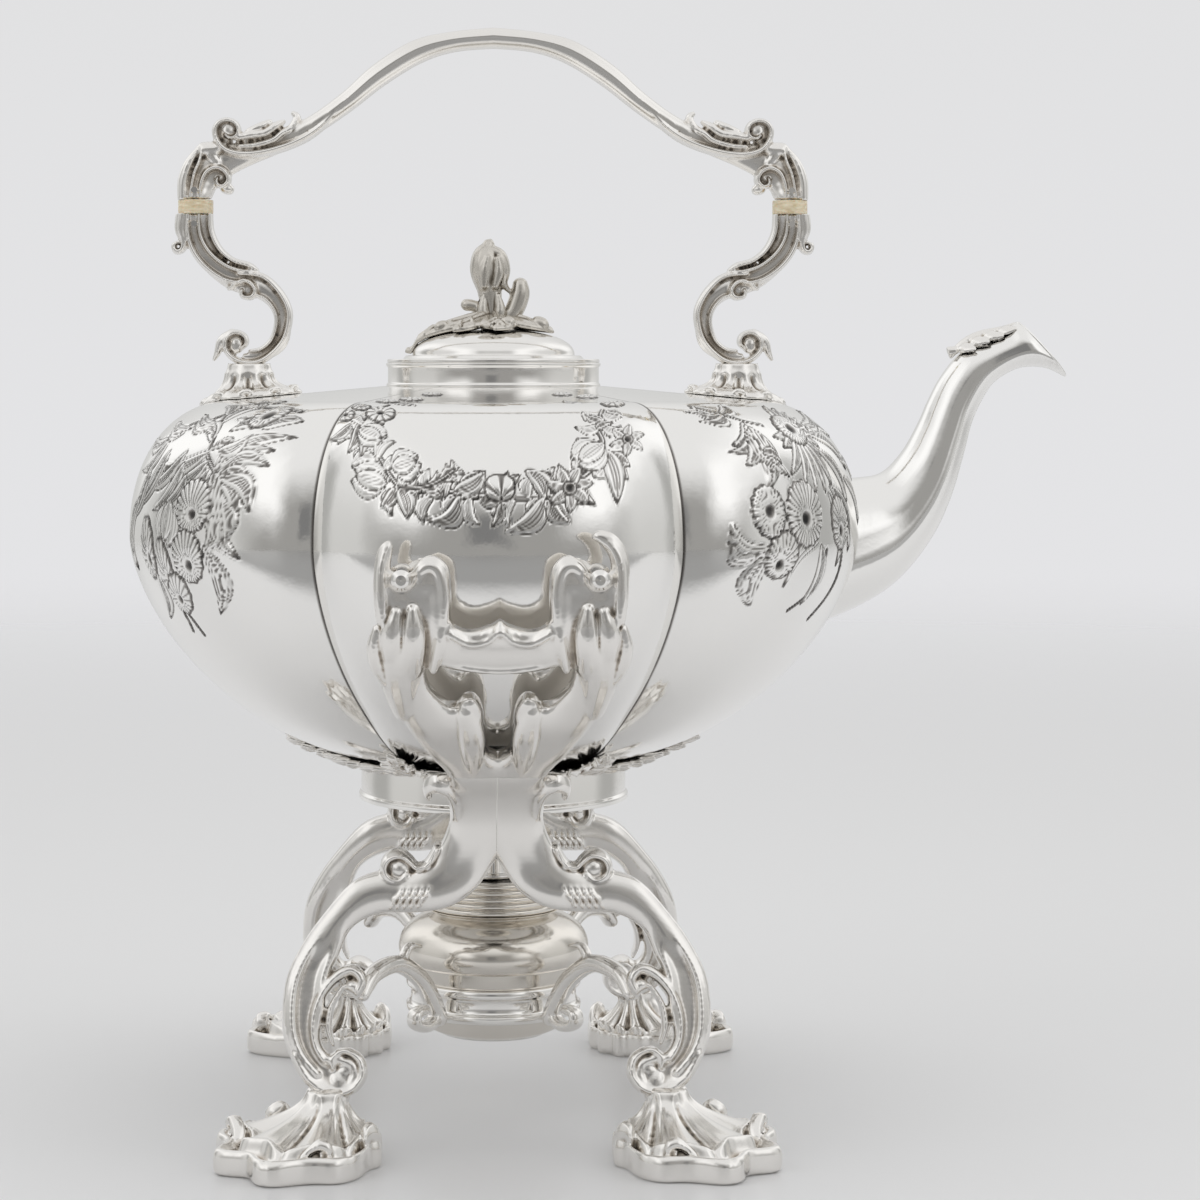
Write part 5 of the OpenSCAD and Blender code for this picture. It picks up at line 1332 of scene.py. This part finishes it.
# %% Lower arms
def make_arm(side, hand):
    bm, to = bmesh.new(), upright(side)
    between(bm, inner_line(ARM_OUTER, ARM_INNER, 0.08), inner_line(ARM_OUTER, ARM_INNER, 0.92),
            [8, 5.4, 4.8, 4.6, 4.4, 4.4, 4.4, 4.2, 4.2, 4.2, 4.2], to)
    strokes(bm, to, (
            ([[-100.7, 106], [-100.9, 98.6], [-99, 92.7], [-94.8, 87.5], [-88.8, 83.6], [-82.9, 82.6]],
             [2.0, 2.2, 2.2, 2.2, 2.1, 1.6], [9.6, 9.4, 9.2, 9, 8.8, 7.6]),
            ([[-97.3, 106], [-96.9, 98.6], [-93.9, 92.8], [-88.8, 88.5], [-83.7, 86.6], [-79.6, 86.4]],
             [1.9, 2.0, 2.0, 2.0, 2.0, 1.4], [9.6, 9.2, 9, 9, 8.6, 7]),
            ([[-93.8, 106], [-93.4, 99.6], [-90.6, 93.8], [-86.2, 90.0], [-81, 88.4], [-78.4, 86.8]],
             [2.0, 2.1, 2.1, 2.1, 2.2, 1.5], [9.6, 9.2, 9, 8.8, 8.4, 6.4]),
            # smooth blade down the outside, ending in a curl
            ([[-102.6, 106], [-103.2, 100.6], [-102.4, 96.4], [-103.0, 93.6], [-105.0, 93.0],
              [-105.8, 95.0],
              [-104.6, 95.8]], [5.0, 4.8, 3.2, 2.3, 2.1, 1.8, 1.4], [9.6, 9.2, 8.4, 7.6, 7, 6.6, 6]),
            # the lower C with its two volutes
            ([[-84.4, 85.6], [-76.9, 84.9], [-71.6, 80.6], [-68.2, 74.8], [-67.8, 69.7], [-69.9, 63.2],
              [-75.2, 57.8],
              [-80.3, 56.1], [-85.4, 57.2], [-88.6, 60.4], [-88.6, 64.0], [-85.8, 66.2], [-82.6, 65.2],
              [-81.8, 62.6],
              [-83.6, 60.8]], [1.6, 2.2, 2.4, 2.5, 2.5, 2.5, 2.5, 2.5, 2.4, 2.2, 2.1, 2.0, 1.8, 1.6, 1.4],
             [7, 8.8, 8.9, 8.9, 8.9, 8.9, 8.9, 8.9, 8.9, 8.8, 8.8, 8.6, 8.4, 8.2, 8]),
            ([[-87.6, 80.6], [-83.6, 83.2], [-80.4, 82.6], [-78.8, 80.0], [-80.2, 77.8], [-83.2, 78.2],
              [-83.2, 80.2]],
             [1.4, 2.0, 2.2, 2.2, 2.0, 1.7, 1.4], [6, 8.4, 8.8, 8.8, 8.6, 8.2, 8]),
            ([[-79.6, 78.6], [-76.0, 77.6], [-72.8, 73.9], [-71.8, 69.7], [-73.4, 64.0], [-76.9, 60.7],
              [-80.6, 60.0]],
             [1.2, 1.7, 1.8, 1.8, 1.8, 1.7, 1.4], [7, 8.2, 8.4, 8.4, 8.4, 8.2, 7.6]),
            ([[-86.6, 66.2], [-90.0, 63.6], [-91.4, 59.6], [-92.6, 57.2]], [2.6, 3.2, 2.4, 1.2],
             [6.6, 7, 5, 2.4])))
    stroke(bm, [[-85.4, 62.2], [-85.0, 62.2]], 6.4, 4.8, to)
    stroke(bm, [[-81.4, 80.2], [-81.0, 80.2]], 5.0, 4.8, to)
    stroke(bm, [[-SOCKET_X, 58.5], [-SOCKET_X, 50.5]], 4.6, 3.6, to, tips=False)
    bm = trimmed(melt(bm, 0.33, 3), DISC_LOW - 0.04, True)
    finish_piece(f"scrolled_arm_{hand}", bm, "kettle", f"lower_arm_{hand}", cast_silver, channel=0.75)


make_arm(1, "left")
make_arm(-1, "right")


# %% Insulating discs
def make_disc(side, hand):
    bm = bmesh.new()
    bmesh.ops.create_cone(bm, cap_ends=True, segments=72, radius1=DISC_R, radius2=DISC_R, depth=DISC_H)
    rims = [e for e in bm.edges if len(e.link_faces) == 2 and e.calc_face_angle() > 1]
    bmesh.ops.bevel(bm, geom=rims, offset=0.35, affect="EDGES", segments=3, profile=0.5, material=-1)
    bmesh.ops.translate(bm, vec=(side * DISC_X, 0, DISC_LOW + DISC_H / 2), verts=bm.verts)
    finish_piece(f"disc_{hand}", bm, "kettle", f"insulator_{hand}", ivory)


make_disc(-1, "left")
make_disc(1, "right")


# %% [markdown]
# The sockets are shells whose flutes spread over the shoulder. Between the flutes they darken, with tarnish
# and painted shade.


# %% Sockets
SOCKET_RINGS = [[0.3, 0.3, 0, 0], [9, 7, 0, 0.02], [17, 13.5, 0, 0.12], [17.2, 13.6, 1.2, 0.16],
                [15.4, 12.2, 2.6, 0.26],
                [12.4, 9.8, 3.4, 0.32], [9.6, 8, 5.2, 0.3], [8.4, 7.4, 7.4, 0.22], [8.2, 7.2, 8.6, 0.06],
                [7.4, 6.6, 10, 0.0], [7.0, 6.2, 12, 0.0]]


def make_socket(side, hand):
    bm = bmesh.new()
    rings = smooth_line(SOCKET_RINGS, 5)
    turn = np.arange(144) * 2 * np.pi / 144
    flute = np.abs(np.cos(5 * turn)) ** 0.6
    skin = []
    for a, b, up, deep in rings:
        k = 1 - deep * (1 - flute)
        x, y = side * SOCKET_X + a * k * np.cos(turn), b * k * np.sin(turn)
        base = np.array([body_z(p, q) for p, q in zip(x, y)]) + 0.15
        level = fade(up / 12)
        skin.append(np.stack([x, y, base * (1 - level) + (SOCKET_TOP - 12) * level + up], -1))
    skin.append(np.stack([side * SOCKET_X + 5.6 * np.cos(turn), 5.0 * np.sin(turn),
                          np.full(144, SOCKET_TOP - 0.2)], -1))
    sweep(bm, skin)

    # scrolls and knops that stand between the shell and the shoulder
    def to(w, up, out):
        a = np.radians(w)
        x, y = side * SOCKET_X + (15.2 + out) * np.cos(a), (12.0 + out) * np.sin(a)
        low = np.array([body_z(p, q) for p, q in zip(np.atleast_1d(x), np.atleast_1d(y))])
        return np.stack([x, y, low + up], -1)

    for w in range(18, 360, 36):
        stroke(bm, [[w - 12, 0.8], [w - 5, 2.4], [w + 4, 2.2], [w + 7, 0.9]], [1.4, 2.0, 2.0, 1.2],
               [2.2, 3.2, 3.2, 2.0], to, sides=8, steps=3)
    finish_piece(f"fluted_socket_{hand}", melt(bm, 0.4, 2), "kettle", f"handle_socket_{hand}", cast_silver,
                 channel=0.7)


make_socket(-1, "left")
make_socket(1, "right")

# %% [markdown]
# ## The lid's finial
# A nodding bud stands on spreading leaves. Each petal is a rounded casting that laps over the next.


# %% Finial
TOP = DOME_Z + DOME_H


def make_finial():
    z = TOP + 2.2
    bm = bmesh.new()
    for y, *petal in (
            (0, [[-0.6, -0.5], [-0.8, 6], [-1.4, 12]], [8, 7.4, 8.6], [7.4, 7, 7.6]),
            (0, [[-1.6, 12], [-2.6, 17.4], [-2.4, 22.6], [-1.6, 25.8]], [8.4, 10.4, 9, 4.2],
             [8.4, 10, 8.6, 4.2]),
            (0, [[-1.2, 24.4], [2.2, 22.4], [3.8, 17.6], [3.4, 13.2], [5.4, 10.4]],
             [3.4, 4.2, 3.8, 2.8, 1.4],
             [5.4, 6.8, 6.4, 4.2, 1.8]),
            (0, [[-4.6, 14], [-5.8, 18], [-5.2, 22], [-2.6, 25.6]], [2, 2.8, 2.8, 1.6], [6, 7.6, 7, 4]),
            (0, [[-1.4, 25.4], [-0.8, 27.4]], [2.2, 1.2], [2.2, 1.2]),
            (-3.6, [[0.6, 12.2], [1.8, 16.8], [1.4, 21.2]], [2.4, 3.4, 2], [3, 3.4, 2.2]),
            (-3.8, [[-3.2, 12.2], [-3, 17.2], [-2, 21.6]], [2.4, 3.6, 2], [3, 3.6, 2.4]),
            (3.8, [[-1, 13], [-0.4, 18], [-1, 22]], [2.4, 4, 2], [3, 3.6, 2.4]),
            (0, [[2.8, 0.4], [6.6, 3.6], [8.8, 9.4], [8.9, 12.6]], [5.4, 6.4, 6.6, 5.4], [6, 6, 5.8, 5]),
            (0, [[8.8, 12.4], [9, 13.4]], [3.4, 3.4], [3.2, 3]),
            (0, [[-2.2, 3.8], [-6.4, 5.6], [-8.8, 6]], [4.4, 4, 4.2], [4.6, 4, 4.2]),
            (-2.6, [[-2.4, 0], [-3.6, 4], [-3.2, 8.6]], [3.4, 3.8, 1.6], [3.4, 3.8, 1.6]),
            (-3, [[0.8, 0], [2.2, 4], [1.6, 9]], [3.4, 3.8, 1.6], [3.4, 3.8, 1.6]),
            (3, [[0.4, 0], [1.6, 5], [0.2, 10]], [3.4, 3.8, 1.6], [3.4, 3.8, 1.6])):
        strokes(bm, lambda x, h, d: np.stack([x, d + y, h + z], -1), [petal])
    finish_piece("nodding_bud", melt(bm, 0.34, 2), "lid", "finial_bud", old_silver, channel=0.5)


def make_finial_leaves():
    bm = bmesh.new()
    under = np.array(dome(DOME_R, DOME_H, 40)[::-1])

    def flat(x, y, d):
        far = np.hypot(x, y)
        floor = np.interp(far, under[:, 0], under[:, 1]) + 1.4 + 2.2 * np.exp(-(far / 10) ** 2)
        return np.stack([x, y, np.minimum(floor, TOP + 3.4) + d], -1)

    stroke(bm, [[-2, 0], [2, 0]], 15, 2.8, flat)
    for path, width in (([[0, 0], [-11, -3.4], [-20, -4.2], [-28.6, -1.5]], [9, 11, 6.4, 1.6]),
                        ([[0, 0], [1.0, -8], [1.4, -13.6], [0.5, -17]], [8, 13.4, 10, 2.4]),
                        ([[0, 0], [9, -1.6], [15, -1.6], [19.4, -1]], [9, 12, 9, 3.2]),
                        ([[0, 0], [-6, -7], [-10.6, -11.4], [-13, -13]], [7, 9, 7, 2.0]),
                        ([[0, 0], [8, 7], [12, 10.4], [13.6, 11]], [7, 9, 6, 2.0]),
                        ([[0, 0], [-7, 5.6], [-12, 9], [-14.6, 9.4]], [7, 8.4, 6, 2.0]),
                        ([[0, 0], [-0.6, 8], [0.4, 12.6], [0.8, 14.8]], [9, 11.5, 7, 3])):
        stroke(bm, path, width, [4.4, 4.0, 3.0, 1.6], flat)
        line = smooth_line(path, 4)
        stroke(bm, path, [1.8, 1.5, 1.2, 0.8], [1.8, 1.8, 1.4, 1.0], flat, lift=[2.4, 2.2, 1.6, 0.9])
        for k in (5, 8):
            t = line[k + 1] - line[k]
            t /= np.linalg.norm(t)
            for turn in (-1, 1):
                out = np.array([-t[1], t[0]]) * turn
                tip = line[k] + t * 2.6 + out * (3.8 if k == 5 else 2.6)
                stroke(bm, [line[k], (line[k] + tip) / 2 + t * 0.3, tip], [0.9, 0.8, 0.5], [1.4, 1.2, 0.8],
                       flat, sides=6, steps=3, lift=[2.1, 1.8, 1.1])
    # fruit lying among the leaves
    for x, y, size in ((15.6, -3.4, 4.6), (-17.5, -6.6, 3.2), (4.6, -12.8, 3.4), (-3, 12, 3.2)):
        stroke(bm, [[x - 0.6, y], [x + 0.6, y]], size, size, flat, lift=1.6, power=1)
    finish_piece("finial_foliage", melt(bm, 0.34, 2), "lid", "finial_leaves", old_silver, channel=0.6)


make_finial()
make_finial_leaves()

# %% [markdown]
# ## Stand
# Front and rear of the stand are the same casting: an openwork fork above, and two scroll legs
# below. It bows out from the waist to the hooks, so it is drawn flat and bent along `FRAME_LINE`.

# %% Bent plane of the stand
FRAME_LINE = [[72, 12], [71.5, 22], [70, 30], [67.5, 42], [65, 52], [62, 64], [59.5, 78], [58.5, 90],
              [61, 104], [68, 114], [78, 122], [96, 135], [106, 145], [115, 155], [122.4, 165],
              [126.5, 175], [127, 185], [127, 204]]
BENT = smooth_line(FRAME_LINE, 6)
BENT_SLOPE = np.gradient(BENT[:, 0], BENT[:, 1])


def on_stand(x, z, d):
    """Flat drawing to the bent plane; d is how far it stands out from the plane."""
    z = np.asarray(z, float)
    y = np.interp(z, BENT[:, 1], BENT[:, 0])
    slope = np.interp(z, BENT[:, 1], BENT_SLOPE)
    size = np.sqrt(1 + slope**2)
    return np.stack([x + 0 * z, -(y + d / size), z - slope * d / size], -1)


# %% Forks
HOOK_FLANK = [[-34.3, 173], [-36, 168], [-35.6, 161], [-32.5, 151], [-28.2, 140], [-22, 130],
              [-16.2, 122.5],
              [-14.5, 117]]
REST_HOOK = [[0, 171.6], [-3, 169.6], [-9, 168], [-13.6, 170.2], [-14.8, 176], [-14.2, 182], [-15.4, 187.4],
             [-19.6, 190.4], [-23.6, 188.6], [-25.6, 185.6], [-28.7, 184.8], [-31.6, 186], [-31.4, 190],
             [-31.0, 192.8], [-32.4, 194.6], [-35, 192.6], [-36.6, 187], [-36.2, 180]]
PIVOT_HOOK = [[0, 171.6], [3, 169.6], [9, 168], [13.6, 170.2], [14.8, 176], [14.2, 182], [15.4, 187.4],
              [19.4, 190.4], [23.4, 188.2], [25.6, 184.8], [28.7, 184.4], [31.8, 185.6], [31.6, 189.6],
              [29.4, 193], [26.4, 195.4], [28.4, 197.4], [33, 196.4], [36.4, 192], [37.6, 186], [36.6, 179]]
FORK_WINDOW = [[-21.8, 156.6], [-19.6, 158.4], [-10, 156.2], [0, 155.6], [10, 156.2], [19.6, 158.4],
               [21.8, 156.6], [20.6, 150.6], [16.4, 145.6], [12.8, 144.4], [10.8, 146.8], [7.4, 147.2],
               [4.8, 143],
               [4.2, 135], [3.2, 128.6], [0, 126.2], [-3.2, 128.6], [-4.2, 135], [-4.8, 143], [-7.4, 147.2],
               [-10.8, 146.8], [-12.8, 144.4], [-16.4, 145.6], [-20.6, 150.6]]


def fork_loops():
    left = smooth_line(REST_HOOK + HOOK_FLANK, 4)
    right = smooth_line(PIVOT_HOOK + mirrored_line(HOOK_FLANK), 4)
    turn = np.arange(32) * np.pi / 16
    seats = [np.stack([s * PIN_X + 2.6 * np.cos(turn), PIN_Z + 2.6 * np.sin(turn)], -1) for s in (-1, 1)]
    return [np.concatenate([left, right[:0:-1]]), smooth_line(FORK_WINDOW, 4, closed=True)] + seats


def fork_half(inside, x, z):
    full_depth = np.interp(z, [119, 140, 158, 175, 190], [8.4, 8.0, 7.2, 6.2, 5.6]) / 2
    # the bar between the hooks is hollowed under its bevelled ledge
    bar = fade((13.5 - np.abs(x)) / 3) * fade((z - 156) / 2)
    column = fade((z - 157) / 4) * fade((182 - z) / 4) * fade((np.abs(x) - 18) / 3)
    full_depth = full_depth * (1 - 0.3 * column)
    return full_depth * rounded_edge(inside, 5.4, 0.4) * (1 - 0.2 * bar * fade((166 - z) / 3))


def fork_details(bm, side):
    """Leafage on one column, drawn for the spout's side and mirrored by side."""
    for points, *sizes in (
            ([[27.6, 144], [29, 154], [28.8, 162], [27.6, 168]], [9, 13, 14, 10], [7, 9.4, 10.4, 8], 0.5),
            ([[30.2, 158], [31.4, 165], [31.2, 169.6], [30.2, 173.8]], [8, 8.2, 7.2, 4], [7, 9, 8.2, 4.4],
             1.3),
            ([[26.4, 158], [25.6, 165], [25.2, 169.8], [25.4, 174.6]], [8, 8.4, 7.4, 3.8],
             [7, 9.4, 8.4, 4.4], 1.8),
            ([[31.6, 150.4], [35.4, 157.6], [36.8, 163.4], [36, 168.8]], [3, 4.6, 4.4, 2.6],
             [5, 7.6, 7, 3.6], 0.8),
            ([[19.4, 157.8], [18.4, 162], [17.4, 167], [16.4, 171.4]], [3.4, 4.2, 4.2, 3], [6, 7, 6.6, 4],
             0.9),
            ([[7.4, 123], [7.8, 130.4], [8.4, 137.4], [9.6, 142.6]], [5, 8, 9, 7], [6, 9.2, 9.8, 8], 1.2),
            # the inner horn rolls over towards the pin
            ([[16.6, 172], [16.4, 180], [17.8, 185.6], [20.8, 187.2], [23.6, 185.2], [23, 181.4]],
             [4.4, 4.6, 5, 4.8, 4, 2.4], [6.4, 7, 7.2, 7, 6.4, 4.6], 0.3)):
        strokes(bm, on_stand, [([[x * side, z] for x, z in points], *sizes)])


def make_fork(name, node, y):
    bm = bmesh.new()
    plate(bm, fork_loops(), fork_half, on_stand)
    for side in (-1, 1):
        fork_details(bm, side)
    strokes(bm, on_stand, (
        # bevelled ledge along the top of the bar, and the rounded lip under it
        ([[-14.6, 168.4], [-9, 165.6], [-3.6, 166.4], [0, 169], [3.6, 166.4], [9, 165.6], [14.6, 168.4]],
         [3.2, 3.4, 3, 3.2, 3, 3.4, 3.2], [7.2] * 7, 0.3),
        ([[-17, 160.2], [-10, 158.2], [0, 157.2], [10, 158.2], [17, 160.2]], [2.2, 2.4, 2.4, 2.4, 2.2],
         [7.0] * 5),
        # outer horns
        ([[-34.2, 172], [-34.6, 180], [-34.4, 187.2], [-33, 192.2]], [4, 4.6, 4.2, 2.6],
         [6.4, 6.8, 6.2, 4.4], 0.3),
        ([[34.6, 172], [35, 180], [34.8, 187.6], [32.4, 192.8], [28.8, 196]], [4, 4.8, 4.6, 3.8, 2.2],
         [6.4, 6.8, 6.4, 5.6, 3.4], 0.3)))
    bm = turned(trimmed(melt(bm, 0.45, 3), WAIST_Z, False), y=y)
    finish_piece(name, bm, "stand", node, cast_silver, hollow=(0.1, 0.5), channel=0.9, matt=True)


make_fork("openwork_front", "front_fork", 1)
make_fork("openwork_rear", "rear_fork", -1)

# %% [markdown]
# The two legs of a side meet along the middle of the waist in one broad, smooth surface. Each swings
# out in a shoulder that curls back on itself, thins at the knee, and winds into a volute on its foot.

# %% Legs
LEG_OUTER = [[-15.6, 123], [-14.5, 118.6], [-15.0, 112], [-14.6, 103.5], [-16.9, 96.3], [-21.6, 89.6],
             [-28, 86.4],
             [-36.5, 86.8], [-45.4, 83.2], [-54.5, 73.1], [-60.6, 64.6], [-65.2, 55.4], [-66.7, 46.3],
             [-66.3, 37.2], [-63.2, 29.4], [-57.3, 22.6], [-50, 19.4], [-44.2, 21.4]]
LEG_INNER = [[8, 123], [8, 118.6], [8, 109], [4.5, 98], [-0.4, 90.2], [-6.5, 81], [-14.4, 75.8],
             [-24, 74], [-36.7, 73.6], [-45.5, 69], [-49.5, 60.5], [-52.4, 54], [-53.4, 45.5],
             [-54.8, 37], [-52.4, 32], [-48, 31.4], [-43.8, 29.6], [-42.2, 25.4]]


def leg_half(inside, x, z):
    shank = fade((68 - z) / 12)
    depth = np.interp(z, [22, 40, 60, 80, 100, 120], [7.6, 7.4, 8, 9.4, 9.6, 8.4]) / 2
    dish = shank * fade((inside - 1.7) / 2.4)
    return depth * rounded_edge(inside, 6.6 - 5.0 * shank, 0.4 + 0.05 * shank) * (1 - 0.34 * dish)


def draw_leg():
    bm = bmesh.new()
    outer, inner = smooth_line(LEG_OUTER, 4), smooth_line(LEG_INNER, 4)
    plate(bm, [np.concatenate([outer, inner[::-1]])], leg_half, on_stand)
    strokes(bm, on_stand, (
        # rolled outer edge of the shank
        ([[-51.4, 71], [-58, 62.6], [-62.2, 54.4], [-63.6, 46.2], [-63.2, 37.8], [-60.4, 31],
          [-55.6, 25.6]],
         [1.6, 3, 4, 4.4, 4.4, 4, 3.6], [7.6, 8.8, 9.2, 9.4, 9.2, 8.8, 8.6]),
        # shoulder curl, flat and round, with a dimple
        ([[-30.4, 87.6], [-30.2, 87.6]], 8.6, 8.2),
        ([[-18.6, 94.6], [-21.4, 89.4], [-25, 88], [-27, 90.2], [-30.2, 92.3], [-34, 91], [-35.2, 87.4],
          [-33.4, 84.4], [-30, 83.9], [-27.8, 86.4]], [2.2, 2.6, 2.6, 2.6, 2.8, 2.9, 2.8, 2.6, 2.3, 1.8],
         [9.4, 10, 10, 10, 10.4, 10.4, 10.4, 10, 9.6, 9]),
        # curl at the waist
        ([[-12.6, 105.5], [-13.2, 111.4], [-15.2, 115.6], [-18.6, 117], [-21.4, 115.2], [-21.2, 112.4]],
         [3.4, 4.2, 4.6, 4.2, 3.6, 2.6], [8.4, 9.4, 9.4, 8.8, 7.8, 6.6]),
        # inner band of the shank, from its curl at the knee to the volute
        ([[-43.6, 49.6], [-41.9, 53.4], [-45.2, 56.6], [-50.4, 54.2], [-54.8, 48.6], [-57, 41.6],
          [-56.4, 34.6], [-53.6, 29.6]], [2.8, 3.6, 4, 3.8, 3.4, 3, 2.8, 2.4],
         [7.8, 9.2, 9.6, 9.4, 9.2, 9, 8.8, 8.4]),
        ([[-45.1, 51.8], [-44.9, 51.8]], 4.8, 7.6),
        ([[-47.8, 51.8], [-51.4, 46], [-52.4, 39.6], [-50.8, 34.4]], [1.6, 2.2, 2.4, 1.6],
         [6.6, 7.6, 7.6, 6.6]),
        # volute that carries the leg on its foot
        ([[-62.6, 31.4], [-58.6, 24.6], [-52.4, 20.8], [-46, 20.8], [-41.8, 25], [-42.6, 30],
          [-47.2, 32.6], [-51, 30.4], [-50.8, 27.2]], [3.6, 3.8, 3.8, 3.6, 3.4, 3.2, 2.8, 2.4, 2],
         [9, 9.2, 9.4, 9.4, 9.4, 9.2, 9, 8.8, 8.4]),
        ([[-47, 26.6], [-46.8, 26.6]], 8.2, 7)))
    stroke(bm, [[-49, 24], [-49.2, 18.5]], 7.4, 7.4, on_stand)
    # a patch of slanting ridges over the knee
    for k in range(5):
        x = -32.6 + 2.1 * k
        strokes(bm, on_stand, [([[x, 75.4], [x + 0.6, 77.8], [x + 2.4, 79.4], [x + 3.2, 82]],
                                [1, 1.4, 1.4, 1],
                                [10.4, 12, 12, 10.4])], sides=8)
    bm = melt(bm, 0.42, 7)
    cut(bm, (0, 0, WAIST_Z - 0.04), (0, 0, 1), True)
    cut(bm, (-0.02, 0, 0), (1, 0, 0), True)
    bmesh.ops.holes_fill(bm, edges=[e for e in bm.edges if e.is_boundary])
    return bm


four_of(draw_leg(), "scroll_leg", "leg", hollow=(0.1, 0.55), channel=0.9)

# %% [markdown]
# ## Shell feet
# Each foot is a fan-shaped shell. Its flutes fall from the ankle to a trough, and beyond that a thick
# ragged rim rises again, with small scrolls lying on it.

# %% Feet
ANKLE = (-50.0, -71.0)
FOOT_WAY, FOOT_REACH, FLUTES, FOOT_SIDES = 220.0, 44.0, 9, 216
# share of the reach, height, depth of the flutes, and how far their crests rise
FOOT_RINGS = [[0.95, 0, 0.02, 0], [0.985, 0.7, 0.02, 0], [1, 2.0, 0.02, 0], [1, 5.8, 0.02, 0],
              [0.985, 7.4, 0.03, 0.3],
              [0.955, 8.0, 0.03, 0.4], [0.92, 7.4, 0.03, 0.2], [0.89, 6.0, 0.03, 0], [0.855, 5.4, 0.03, 0],
              [0.815, 5.8, 0.06, 0.6], [0.785, 7.6, 0.08, 2.6], [0.765, 8.2, 0.1, 3], [0.735, 7.6, 0.13, 3],
              [0.6, 9.2, 0.18, 2.8], [0.48, 11.2, 0.2, 2.4], [0.38, 13.4, 0.2, 2], [0.31, 15.8, 0.2, 1.4],
              [0.27, 18, 0.16, 0.8], [0.25, 20, 0.1, 0.4], [0.23, 21.4, 0.04, 0.2], [0.16, 22.2, 0, 0]]
RIM_SHARE = 0.86


def foot_reach(w):
    """Reach of the ragged rim in each direction from the ankle."""
    a = np.radians(w - FOOT_WAY)
    ragged = 1 - 0.062 * (1 + np.sin(10 * a + 0.6 + 0.7 * np.sin(3 * a))) - 0.02 * (1 + np.sin(4 * a + 2.0))
    return (13 + (FOOT_REACH - 13) * ((1 + np.cos(a)) / 2) ** 1.7) * ragged


def draw_foot():
    w = np.arange(FOOT_SIDES) * 360 / FOOT_SIDES
    wave = np.abs(np.sin(np.radians((w - FOOT_WAY) * FLUTES / 2 + 90))) ** 0.7
    skin = []
    for share, z, deep, lift in smooth_line(FOOT_RINGS, 4):
        q = foot_reach(w) * share * (1 - deep * (1 - wave))
        skin.append(np.stack([ANKLE[0] + q * np.cos(np.radians(w)), ANKLE[1] + q * np.sin(np.radians(w)),
                              np.maximum(z + lift * wave, 0)], -1))
    bm = bmesh.new()
    sweep(bm, skin)

    def to(angle, up, out):
        q = foot_reach(angle) * RIM_SHARE + out
        return np.stack([ANKLE[0] + q * np.cos(np.radians(angle)), ANKLE[1] + q * np.sin(np.radians(angle)),
                         np.asarray(up, float) + 0 * q], -1)

    # small scrolls lie on the rim: direction, half their angle, height, and which way they wind
    for middle, wide, size, way in ((146, 10, 4.6, 1), (186, 8, 4.4, -1), (262, 8, 3.6, 1),
                                    (310, 13, 3.6, -1)):
        path = [[middle + way * x * wide, 8.2 + y * size] for x, y in
                ((-1.1, -0.2), (-0.5, 0.5), (0.2, 0.9), (0.8, 0.5), (0.7, -0.1), (0.2, -0.1), (0.2, 0.3))]
        degrees = 1 / math.radians(float(foot_reach(middle)) * RIM_SHARE)
        stroke(bm, path, [1.4 * degrees, 2 * degrees, 1.8 * degrees, 1.2 * degrees], [4, 5, 4.4, 3], to,
               sides=8, steps=4)
    bm = melt(bm, 0.45, 2)
    cut(bm, (0, 0, 0.12), (0, 0, 1), False)
    bmesh.ops.holes_fill(bm, edges=[e for e in bm.edges if e.is_boundary])
    bmesh.ops.translate(bm, vec=(0, 0, -0.12), verts=bm.verts)
    return bm


four_of(draw_foot(), "shell", "foot", hollow=(0.1, 0.6), channel=1.3)

# %% [markdown]
# Four C-scrolls tie the lamp's ring to the legs.


# %% Ring arms
def draw_ring_arm():
    w = math.atan2(-48, -34)
    start = np.array([RING_R * math.cos(w), RING_R * math.sin(w)])
    run = np.array([-43, -61.4]) - start
    side = np.array([-run[1], run[0]]) / np.linalg.norm(run)

    size = np.linalg.norm(run)

    def to(s, z, d):
        s = s / size
        return np.stack([start[0] + run[0] * s + side[0] * d, start[1] + run[1] * s + side[1] * d, z], -1)

    bm = bmesh.new()
    # share of the way from ring to leg, and height
    for points, width, depth in (
            ([(0.05, 33), (0.14, 40), (0.3, 48.4), (0.56, 54.6), (0.84, 53.4), (0.98, 48)],
             [5.4, 5.6, 5.8, 5.8, 5.4, 4.0], 6),
            ([(0.06, 34), (0.2, 31.6), (0.34, 33.4), (0.34, 36.8), (0.24, 37.4)], [4.2, 4, 3.6, 3.4, 3.2],
             5.4),
            ([(0.5, 55), (0.42, 59), (0.3, 58.4)], [3.4, 2.8, 1.4], 3.6)):
        stroke(bm, [[s * size, z] for s, z in points], width, depth, to)
    return melt(bm, 0.45, 3)


four_of(draw_ring_arm(), "ring_scroll", "ring_arm", channel=0.8)

# %% [markdown]
# ## Small fittings
# Pins, hinge and nut are plain turned silver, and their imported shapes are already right. They
# stay, and take the turned finish.

# %% Small fittings
for node in ("pivot_pins", "rest_pins", "insulator_pins", "socket_pins", "hinge_body_knuckles",
             "hinge_lid_knuckle", "hinge_pin", "finial_nut"):
    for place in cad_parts[node].material_slots:
        place.material = turned_silver
    print(f"{node}: kept")
